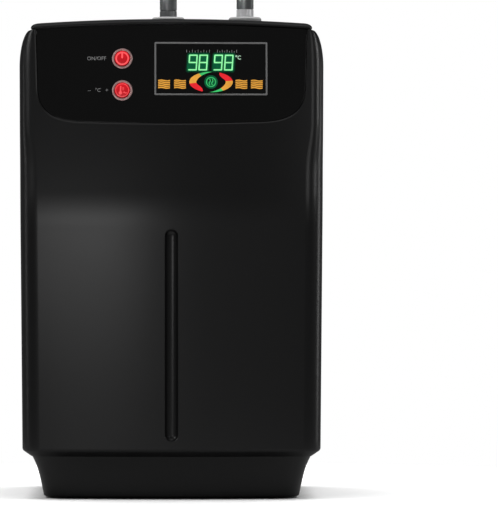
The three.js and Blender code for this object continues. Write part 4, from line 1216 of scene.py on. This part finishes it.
def heat_strips():
    strips = []
    half = heat_line_width / 2
    for left in heat_icon_lefts:
        for line in range(heat_icon_lines):
            middle = heat_icon_bottom + half + line * heat_line_pitch
            path = wave(left, heat_icon_width, middle, heat_line_wave, heat_line_steps)
            strips.append(([(u, v + half) for u, v in path], [(u, v - half) for u, v in path], False))
    return strips


def scale_strips():
    """Two plain scales of ticks over the figures."""
    strips = []
    half = scale_tick_width / 2
    for start, end in scale_spans:
        for i, u in enumerate(even(start, end, scale_ticks - 1)):
            top = scale_bottom + scale_tick_heights[i % 2]
            strips.append(pill(u - half, scale_bottom, u + half, top, tick_round, tick_steps))
    return strips


# Marks on the buttons and beside them

glyph_ring_outer = 4.7 * MM
glyph_ring_inner = 3.7 * MM
glyph_bar_width = 1.2 * MM
glyph_fine = 0.5 * MM
glyph_fine_ring = 0.7 * glyph_fine
glyph_tick = 0.8 * glyph_fine
glyph_ticks, glyph_wave_steps = 3, 10
bulb_place, bulb_radius = (-1.2 * MM, -1.9 * MM), 1.2 * MM
stem_tip, stem_width = (-MM, 2.6 * MM), MM
tick_left, tick_right, tick_start, tick_pitch = 0.3 * MM, 1.2 * MM, 0.2 * MM, 0.85 * MM
wave_left, wave_width, wave_middle, wave_height = 0.9 * MM, 2 * MM, -1.7 * MM, 0.45 * MM
legend_rights = {"power": -45.7 * MM, "temperature": -44.2 * MM}
legend_height = 2.6 * MM
capital_share = 0.7
legend_resolution = 3
legends = {"power": "ON/OFF", "temperature": "\u2013   \u00b0C   +"}


def power_glyph():
    top = (glyph_ring_outer + glyph_ring_inner) / 2
    return [annulus(0, 0, glyph_ring_outer, glyph_ring_inner),
            stroke([(0, glyph_bar_width / 2), (0, top)], glyph_bar_width)]


def temperature_glyph():
    """A thermometer that leans left, a drop-shaped bulb, scale marks and a fine ring round them."""
    strips = [annulus(0, 0, glyph_ring_outer, glyph_ring_outer - glyph_fine_ring),
              disc(*bulb_place, bulb_radius), stroke([bulb_place, stem_tip], stem_width)]
    for v in (tick_start + tick_pitch * i for i in range(glyph_ticks)):
        strips.append(stroke([(tick_left, v), (tick_right, v)], glyph_tick))
    steam = wave(wave_left, wave_width, wave_middle, wave_height, glyph_wave_steps)
    return strips + [stroke(steam, glyph_fine)]


def make_legend(kind):
    """Plain generic lettering beside a button, set against the panel's face."""
    data = bpy.data.curves.new(f"{kind}_legend_type", "FONT")
    data.body = legends[kind]
    data.size = legend_height / capital_share
    data.align_x = "RIGHT"
    data.align_y = "CENTER"
    data.extrude = (mark_lift + mark_sink) / 2
    data.resolution_u = legend_resolution
    text = bpy.data.objects.new(f"{kind}_legend_type", data)
    bpy.context.scene.collection.objects.link(text)
    made = bpy.data.meshes.new_from_object(text.evaluated_get(bpy.context.evaluated_depsgraph_get()))
    bpy.data.objects.remove(text)
    right, middle, lift = legend_rights[kind], button_heights[kind], (mark_lift - mark_sink) / 2
    points = [on_panel(right + v.co.x, middle + v.co.y, v.co.z + lift) for v in made.vertices]
    return add_mesh(f"{kind}_legend", points, [tuple(face.vertices) for face in made.polygons])


# Turned pieces

def make_button_ring(kind):
    inner, outer = button_ring_radius - button_ring_width, button_ring_radius
    face, top = panel_face - panel_thickness, panel_face + button_ring_proud
    rounds = {2: ring_round, 3: ring_round}
    return tube(f"{kind}_bezel", inner, outer, face, top, rounds, fine_sides, button_place(kind))


def make_button_cap(kind):
    steps = 6
    place = button_place(kind)
    stem_end = min((place.inverted() @ v.co).z for v in bpy.data.objects[f"{kind}_button"].data.vertices)
    radius = button_ring_radius - button_ring_width - panel_gap
    edge, flat = panel_face + button_cap_proud, radius - button_edge
    under = -wall - panel_gap
    flange = under - button_flange_thickness
    profile = [(0, stem_end), (button_stem_radius, stem_end), (button_stem_radius, flange),
               (button_flange_radius, flange), (button_flange_radius, under), (radius, under),
               (radius, edge - button_edge)]
    for a in even(0, math.pi / 2, steps)[1:]:
        profile.append((radius - button_edge * (1 - math.cos(a)), edge - button_edge * (1 - math.sin(a))))
    profile += [(flat * share, edge + button_dome * (1 - share ** 2)) for share in even(1, 0, steps)[1:]]
    return lathe(f"{kind}_cap", profile, fine_sides, place)


def make_pipe(kind):
    shoulder = sleeve_bottoms[kind] - panel_gap
    profile = [(pipe_bore, pipe_bottom), (pipe_radius, pipe_bottom), (pipe_radius, shoulder),
               (pipe_spigot_radius, shoulder), (pipe_spigot_radius, pipe_top), (pipe_bore, pipe_top),
               (pipe_bore, pipe_bottom)]
    rounds = {2: soft_round, 4: edge_round, 5: edge_round}
    return turned(f"{kind}_stub", profile, rounds, place=pipe_place(kind))


def make_sleeve(kind):
    inner, low = pipe_spigot_radius + panel_gap, sleeve_bottoms[kind]
    rounds = {1: fine_round, 2: soft_round, 3: edge_round}
    return tube(f"{kind}_boot", inner, pipe_radius, low, sleeve_top, rounds, place=pipe_place(kind))


def make_collar(kind):
    inner, top = pipe_radius + panel_gap, pad_top + collar_height
    profile = [(inner, pad_top), (collar_radius, pad_top), (collar_radius, top - collar_chamfer),
               (collar_top_radius, top), (inner, top), (inner, pad_top)]
    rounds = {1: small_round, 2: soft_round, 3: soft_round, 4: fine_round}
    return turned(f"{kind}_boss", profile, rounds, fine_sides, pipe_place(kind))


def make_foot(number):
    seat, top = base_plate_bottom, base_plate_bottom + foot_peg_height
    profile = [(0, 0), (foot_radius, 0), (foot_radius, seat), (foot_peg_radius, seat),
               (foot_peg_radius, top), (0, top)]
    rounds = {1: foot_round, 2: small_round, 4: soft_round}
    return turned(f"rubber_foot_{number}", profile, rounds, peg_sides, at_floor(*foot_places[number - 1]))


def make_screw(name, place, head_height):
    """A pan-headed screw with a cross recess: its head's underside is at height zero, its shank above."""
    profile = [(0, -head_height), (screw_head_radius, -head_height), (screw_head_radius, 0),
               (screw_shank_radius, 0), (screw_shank_radius, screw_length), (0, screw_length)]
    screw = turned(name, profile, {1: head_height * screw_dome_share, 4: soft_round}, few_sides)
    arms = []
    for turn in (0, math.pi / 2):
        arm = block("arm", (-screw_cross_length, -screw_cross_width, -head_height - overcut),
                    (screw_cross_length, screw_cross_width, -head_height * screw_floor_share))
        arm.data.transform(Matrix.Rotation(turn, 4, "Z"))
        arms.append(arm)
    boolean(screw, arms)
    screw.data.transform(place)
    return screw


# Mains inlet: a flanged socket with three blades

inlet_body_depth = 22 * MM
inlet_cavity = (23.5 * MM, 16 * MM, 16 * MM)
inlet_cavity_chamfer = 4.5 * MM
inlet_flange_round = 1.2 * MM
inlet_flange_corner, inlet_body_corner = 2.5 * MM, 1.5 * MM
blade_size = (2 * MM, 10 * MM, 6 * MM)
blade_spacing = 7 * MM
blade_tip, blade_taper, blade_gap = 0.35 * MM, MM, 0.05 * MM
blade_rises = (-1 / 4, 1 / 3, -1 / 4)


def make_inlet():
    flange = inlet_outline(inlet_flange_width, inlet_flange_height, 0, inlet_flange_corner)
    drawn = inlet_flange_round / 2
    rings = [(flange, inlet_face_y), (flange, back_y - drawn), (grow_outline(flange, -drawn), back_y)]
    body = inlet_outline(inlet_body_width, inlet_body_height, 0, inlet_body_corner)
    shell = boolean(prism("socket_flange", rings),
                    [bar(body, inlet_face_y - inlet_body_depth, inlet_face_y + overcut)], "UNION")
    width, depth, height = inlet_cavity
    left, right = inlet_x - width / 2, inlet_x + width / 2
    low, high = inlet_z - height / 2, inlet_z + height / 2
    cut = inlet_cavity_chamfer
    cavity = [(left, low), (right, low), (right, high - cut), (right - cut, high), (left + cut, high),
              (left, high - cut)]
    return boolean(shell, [bar(cavity, back_y - depth, back_y, vent_edge)])


def make_blade(place):
    """One contact of the socket, with its far end drawn in."""
    width, length, height = blade_size
    near = back_y - inlet_cavity[1]
    middle = inlet_z + height * blade_rises[place + 1]
    x = inlet_x + place * blade_spacing
    outline = inlet_outline(width, height, 0, small_round, x, middle)
    rings = [(outline, near + blade_gap), (outline, near + length - blade_taper),
             (grow_outline(outline, -blade_tip), near + length)]
    return prism("contact_blade_" + ("left", "earth", "right")[place + 1], rings)


# Materials

def add_node(material, kind, source=None, socket="Vector", **values):
    """A shader node with values set, its source linked to a socket. Names have _ for a space."""
    node = material.node_tree.nodes.new("ShaderNode" + kind)
    for name, value in values.items():
        node.inputs[name.replace("_", " ")].default_value = value
    if source:
        material.node_tree.links.new(source, node.inputs[socket])
    return node


def feed(material, output, socket):
    material.node_tree.links.new(output, material.node_tree.nodes["Principled BSDF"].inputs[socket])


def new_material(name, colour, roughness, metallic=0.0):
    """A material whose uniform values sit on the shader's own sockets."""
    material = bpy.data.materials.new(name)
    material.use_nodes = True
    inputs = material.node_tree.nodes["Principled BSDF"].inputs
    inputs["Base Color"].default_value = (*colour, 1)
    inputs["Roughness"].default_value = roughness
    inputs["Metallic"].default_value = metallic
    return material


def object_noise(material, scale, detail):
    """Noise over the piece's own space."""
    place = add_node(material, "TexCoord").outputs["Object"]
    return add_node(material, "TexNoise", place, Scale=scale, Detail=detail).outputs["Fac"]


def spread_value(material, factor, low, high, socket):
    """Feeds a shader socket between two values by a noise, which seldom leaves its middle range."""
    dark, pale = 0.3, 0.7
    ends = {"From_Min": dark, "From_Max": pale, "To_Min": low, "To_Max": high}
    feed(material, add_node(material, "MapRange", factor, "Value", **ends).outputs["Result"], socket)


def bump(material, factor, height):
    node = add_node(material, "Bump", factor, "Height", Distance=height, Strength=1.0)
    feed(material, node.outputs["Normal"], "Normal")


def moulded(name, colour, roughness, grain=0.03 * MM, vary=0.05):
    """Moulded plastic: a fine spark-eroded grain, and roughness that varies a little over the part."""
    grain_scale, patch_scale = 1400, 18
    material = new_material(name, colour, roughness)
    bump(material, object_noise(material, grain_scale, 2), grain)
    patches = object_noise(material, patch_scale, 3)
    spread_value(material, patches, roughness - vary, roughness + vary, "Roughness")
    return material


def polished(name, colour, roughness):
    """Gloss plastic with a faint orange peel."""
    peel_height, peel_scale, patch_scale, vary = 0.004 * MM, 90, 30, 0.02
    material = new_material(name, colour, roughness)
    bump(material, object_noise(material, peel_scale, 2), peel_height)
    patches = object_noise(material, patch_scale, 4)
    spread_value(material, patches, roughness, roughness + vary, "Roughness")
    return material


def metal(name, colour, roughness, vary=0.06, scale=400, share=1.0):
    """Metal with a machined unevenness; share is how far it is bare rather than coated."""
    least, relief = 0.03, 0.01 * MM
    material = new_material(name, colour, roughness, share)
    streaks = object_noise(material, scale, 4)
    spread_value(material, streaks, max(least, roughness - vary), roughness + vary, "Roughness")
    bump(material, streaks, relief)
    return material


def lit(name, colour, strength=1.0, dark=0.02):
    """A lit mark behind smoked gloss: a little brighter over each lamp than between them. On the button
    glyphs it is print with a painted glow.
    """
    lens_roughness, lamp_scale, uneven = 0.15, 260, 0.12
    material = new_material(name, tuple(c * dark for c in colour), lens_roughness)
    material.node_tree.nodes["Principled BSDF"].inputs["Emission Color"].default_value = (*colour, 1)
    lamps = object_noise(material, lamp_scale, 2)
    spread_value(material, lamps, strength * (1 - uneven), strength * (1 + uneven), "Emission Strength")
    return material


# Materials of the marks, by their own names
looks = {material.name: material for material in (
    lit("green_light", (0.3, 1.0, 0.4)),
    lit("green_glow", (0.0, 0.095, 0.034)),
    lit("faint_glow", (0.0, 0.024, 0.01)),
    lit("green_arm", (0.05, 0.55, 0.15)),
    lit("amber_light", (0.78, 0.36, 0.05)),
    lit("red_light", (0.8, 0.02, 0.03)),
    lit("pale_light", (0.5, 0.75, 0.55)),
    moulded("grey_print", (0.3, 0.3, 0.3), 0.5),
    # The button glyphs are pale red print with a painted glow: emission makes them brighter than their
    # lighting would.
    lit("pale_red_print_painted_glow", (1.0, 0.1, 0.11), strength=0.8, dark=0.5),
)}

# Materials of the other pieces, by their slots in the record
materials = {
    "casing": moulded("satin_black", (0.004, 0.004, 0.0042), 0.29, grain=0.01 * MM, vary=0.012),
    "gloss": polished("gloss_black", (0.002, 0.002, 0.002), 0.08),
    "trim": moulded("trim_grey", (0.2, 0.2, 0.2), 0.4),
    "lens": polished("smoked_lens", (0.002, 0.002, 0.002), 0.06),
    "red": polished("glossy_red", (0.92, 0.012, 0.024), 0.2),
    "ring": metal("warm_bright_ring", (0.95, 0.62, 0.6), 0.42, vary=0.03, scale=60),
    "rubber": moulded("matt_rubber", (0.02, 0.02, 0.02), 0.75),
    "steel": metal("polished_steel", (0.5, 0.5, 0.51), 0.18, vary=0.02, scale=60, share=0.12),
    "dark_steel": metal("dark_steel", (0.09, 0.093, 0.095), 0.2, vary=0.01, scale=60, share=0.1),
    "collar": moulded("light_grey", (0.3, 0.3, 0.3), 0.5),
    "sleeve": moulded("dark_grey_sleeve", (0.1, 0.106, 0.108), 0.2, grain=0.005 * MM, vary=0.01),
    "foam": moulded("white_foam", (0.8, 0.79, 0.75), 0.9, grain=0.3 * MM),
    "brass": metal("machined_brass", (0.6, 0.42, 0.16), 0.28),
    "board": moulded("green_board", (0.03, 0.16, 0.06), 0.5),
    "black": moulded("black_plastic", (0.02, 0.02, 0.02), 0.5),
    "aluminium": metal("aluminium", (0.66, 0.67, 0.68), 0.35),
    "cream": moulded("cream_plastic", (0.7, 0.64, 0.5), 0.5),
    "zinc": metal("zinc_plate", (0.6, 0.6, 0.58), 0.35),
    "white": moulded("white_plastic", (0.8, 0.8, 0.78), 0.45),
}


# The pieces, each with its material, body, record slot and the nodes that it stands for

def dress(piece, slot, body="unit", nodes=(), look=None):
    piece.data.materials.clear()
    piece.data.materials.append(looks[look] if look else materials[slot])
    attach(piece, body)
    if nodes:
        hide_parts(*nodes)


def screw_places():
    """(name, place, head height) of each casing screw."""
    for i, (x, z) in enumerate(post_places):
        turn = Matrix.Translation((x, screw_seat_y, z)) @ Matrix.Rotation(math.pi / 2, 4, "X")
        yield f"rear_screw_{i + 1}", turn, screw_head_height
    for i, (x, y) in enumerate(base_screw_places):
        yield f"base_screw_{i + 1}", Matrix.Translation((x, y, base_plate_bottom)), base_screw_head_height


dress(cut_cover(make_front_cover()), "casing", nodes=["front_cover"])
for make, slot, node in ((make_rear_casing, "casing", "rear_casing"), (make_lid, "casing", "top_lid"),
                         (make_plinth, "casing", "base_plinth"), (make_base_plate, "black", "base_plate"),
                         (make_panel, "gloss", "control_panel"),
                         (make_display_frame, "trim", "display_frame"),
                         (make_display_window, "lens", "display_window")):
    dress(make(), slot, nodes=[node])
for kind in button_heights:
    dress(make_button_ring(kind), "ring", nodes=[f"{kind}_button_ring"])
    dress(make_button_cap(kind), "red", f"{kind}_button", nodes=[f"{kind}_button"])
for kind, finish in (("cold", "dark_steel"), ("hot", "steel")):
    dress(make_pipe(kind), finish, nodes=[f"{kind}_pipe"])
    dress(make_sleeve(kind), "sleeve", nodes=[f"{kind}_sleeve"])
    dress(make_collar(kind), "collar", nodes=[f"{kind}_collar"])
for name, strips, lift, look in (
        ("faint_glow", figure_halos(faint_halo), faint_halo_lift, "faint_glow"),
        ("figure_glow", figure_halos(figure_halo), halo_lift, "green_glow"),
        ("icon_glow", [disc(display_middle_x, gauge_z, icon_glow_radius)], halo_lift, "green_glow"),
        ("figures", figure_strips(), mark_lift, "green_light"),
        ("unit_mark", unit_strips(), mark_lift, "pale_light"),
        ("gauge_icon", icon_strips(), mark_lift, "green_arm"),
        ("gauge_green", gauge_strips("green"), mark_lift, "green_arm"),
        ("gauge_amber", gauge_strips("amber"), mark_lift, "amber_light"),
        ("gauge_red", gauge_strips("red"), mark_lift, "red_light"),
        ("heat_icons", heat_strips(), mark_lift, "amber_light"),
        ("scale_ticks", scale_strips(), mark_lift, "grey_print")):
    dress(inlay(name, strips, on_panel, lift), "lens", look=look)
for kind, glyph in (("power", power_glyph()), ("temperature", temperature_glyph())):
    # Each button's glyph is print with a painted glow, which emits light though it is no lamp.
    sign = inlay(f"{kind}_glyph", glyph, on_cap(kind), mark_lift)
    dress(sign, "red", f"{kind}_button", look="pale_red_print_painted_glow")
    dress(make_legend(kind), "trim", look="grey_print")
dress(make_inlet(), "black", nodes=["mains_inlet"])
for place in (-1, 0, 1):
    dress(make_blade(place), "brass")
for number in range(1, len(foot_places) + 1):
    dress(make_foot(number), "rubber", nodes=[f"foot_{number}"])
for node, place, head in screw_places():
    dress(make_screw(node.replace("screw", "cross_screw"), place, head), "zinc", nodes=[node])

# Carried-over nodes keep their shapes and take the same materials by their record slot
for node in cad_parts:
    piece = bpy.data.objects.get(node)
    if piece and piece.type == "MESH":
        for slot in piece.material_slots:
            if slot.material and slot.material.name in materials:
                slot.material = materials[slot.material.name]


# Camera, as the photograph has it: almost level, far away, the unit left of the middle

photo_scale = 0.7 * MM
photo_width, photo_height = 498, 525
photo_centre_x = 171.5
photo_floor_y = 498.7
camera_distance = 3.0
side_scale = 0.9945
photo_rise = 0.45
camera_height = 167 * MM
sensor_height = 36
view_end = 50

camera_data = bpy.data.cameras.new("camera")
camera = bpy.data.objects.new("camera", camera_data)
bpy.context.scene.collection.objects.link(camera)
camera.location = (0, front_y - camera_distance, camera_height)
camera.rotation_euler = (math.pi / 2, 0, 0)
view_height = photo_height * photo_scale * side_scale
camera_data.sensor_fit = "VERTICAL"
camera_data.sensor_height = sensor_height
camera_data.lens = sensor_height * camera_distance / view_height
camera_data.shift_x = (photo_width / 2 - photo_centre_x) / photo_height
middle_height = (photo_floor_y - photo_height / 2) * photo_scale
camera_data.shift_y = (middle_height - camera_height) / view_height + photo_rise / photo_height
camera_data.clip_end = view_end
bpy.context.scene.camera = camera


# Floor, backdrop and lights

floor_radius = 0.45
floor_sides = 128
floor_roughness = 0.6
floor_shown, floor_mirrored = 0.93, 0.2
backdrop_shown, backdrop_light = 1.0, 0.13
glint_height = 0.45
glint = {"target": (0.025, pipe_y, glint_height), "size": (0.05, 0.2), "power": 0.02, "spread": 6}


def area_light(name, place, target, size, power, mirrored=True, spread=180):
    """A soft box; spread is the angle in degrees that its grid lets out."""
    data = bpy.data.lights.new(name, "AREA")
    data.shape = "RECTANGLE"
    data.size, data.size_y = size
    data.energy = power
    data.spread = math.radians(spread)
    light = bpy.data.objects.new(name, data)
    light.visible_glossy = mirrored
    light.location = place
    light.rotation_euler = (Vector(target) - Vector(place)).to_track_quat("-Z", "Y").to_euler()
    bpy.context.scene.collection.objects.link(light)


def make_floor():
    """A pale round floor that the part mirrors less brightly, as if it stood on a flagged table."""
    edge = circle(0, 0, floor_radius, floor_sides)
    floor = add_mesh("floor", [(x, y, 0) for x, y in edge], [tuple(range(floor_sides))])
    material = moulded("pale_floor", (floor_shown,) * 3, floor_roughness)
    mix = material.node_tree.nodes.new("ShaderNodeMix")
    mix.data_type = "RGBA"
    mix.inputs["A"].default_value = (*(floor_mirrored,) * 3, 1)
    mix.inputs["B"].default_value = (*(floor_shown,) * 3, 1)
    camera_ray = add_node(material, "LightPath").outputs["Is Camera Ray"]
    material.node_tree.links.new(camera_ray, mix.inputs["Factor"])
    feed(material, mix.outputs["Result"], "Base Color")
    floor.data.materials.append(material)


def make_world():
    """A studio that looks white behind the unit but lights it softly, as between black flags."""
    world = bpy.data.worlds.new("studio")
    world.use_nodes = True
    links, end = world.node_tree.links, world.node_tree.nodes["World Output"]
    behind = world.node_tree.nodes["Background"]
    behind.inputs["Color"].default_value = (1, 1, 1, 1)
    behind.inputs["Strength"].default_value = backdrop_shown
    around = add_node(world, "Background", Strength=backdrop_light)
    mix = add_node(world, "MixShader", add_node(world, "LightPath").outputs["Is Camera Ray"], "Fac")
    links.new(around.outputs["Background"], mix.inputs[1])
    links.new(behind.outputs["Background"], mix.inputs[2])
    links.new(mix.outputs["Shader"], end.inputs["Surface"])
    bpy.context.scene.world = world


make_floor()
make_world()
bpy.context.scene.view_settings.view_transform = "Standard"

# The box lights' names, places, targets, widths and heights in metres, and powers in watts
for name, place, target, size, power in (
        ("key", (-0.32, -1.0, 0.25), (-0.06, front_y, 0.2), (0.42, 0.18), 0.68),
        ("left_strip", (-1.28, -0.68, 0.98), (0, 0, 0.3), (0.6, 0.4), 3),
        ("right_fill", (1.5, -1.9, 0.95), (0, 0, 0.25), (0.3, 0.4), 1.4),
        ("left_edge", (-1.5, 0.05, 0.3), (0, 0, 0.2), (0.12, 0.6), 0.42),
        ("front_fill", (0.2, -3.5, 0.18), (0.2, 0, 0.18), (3, 0.9), 1.35),
        ("right_strip", (1.8, -0.3, 0.78), (0, 0, 0.3), (0.25, 0.4), 2.6),
        ("right_back", (1.7, 0.55, 0.25), (0, 0, 0.2), (0.3, 0.5), 1.2)):
    area_light(name, place, target, size, power)
area_light("overhead", (0, 0.3, 2.6), target=(0, 0.3, 0), size=(4, 3), power=170, mirrored=False)
area_light("top_sheen", (0, -0.3, 2.2), target=(0, -0.1, 0), size=(3, 2), power=7)
area_light("pipe_glint_side", (-0.96, -0.28, glint_height), **glint)
area_light("pipe_glint_front", (-0.24, -0.97, glint_height), **glint)
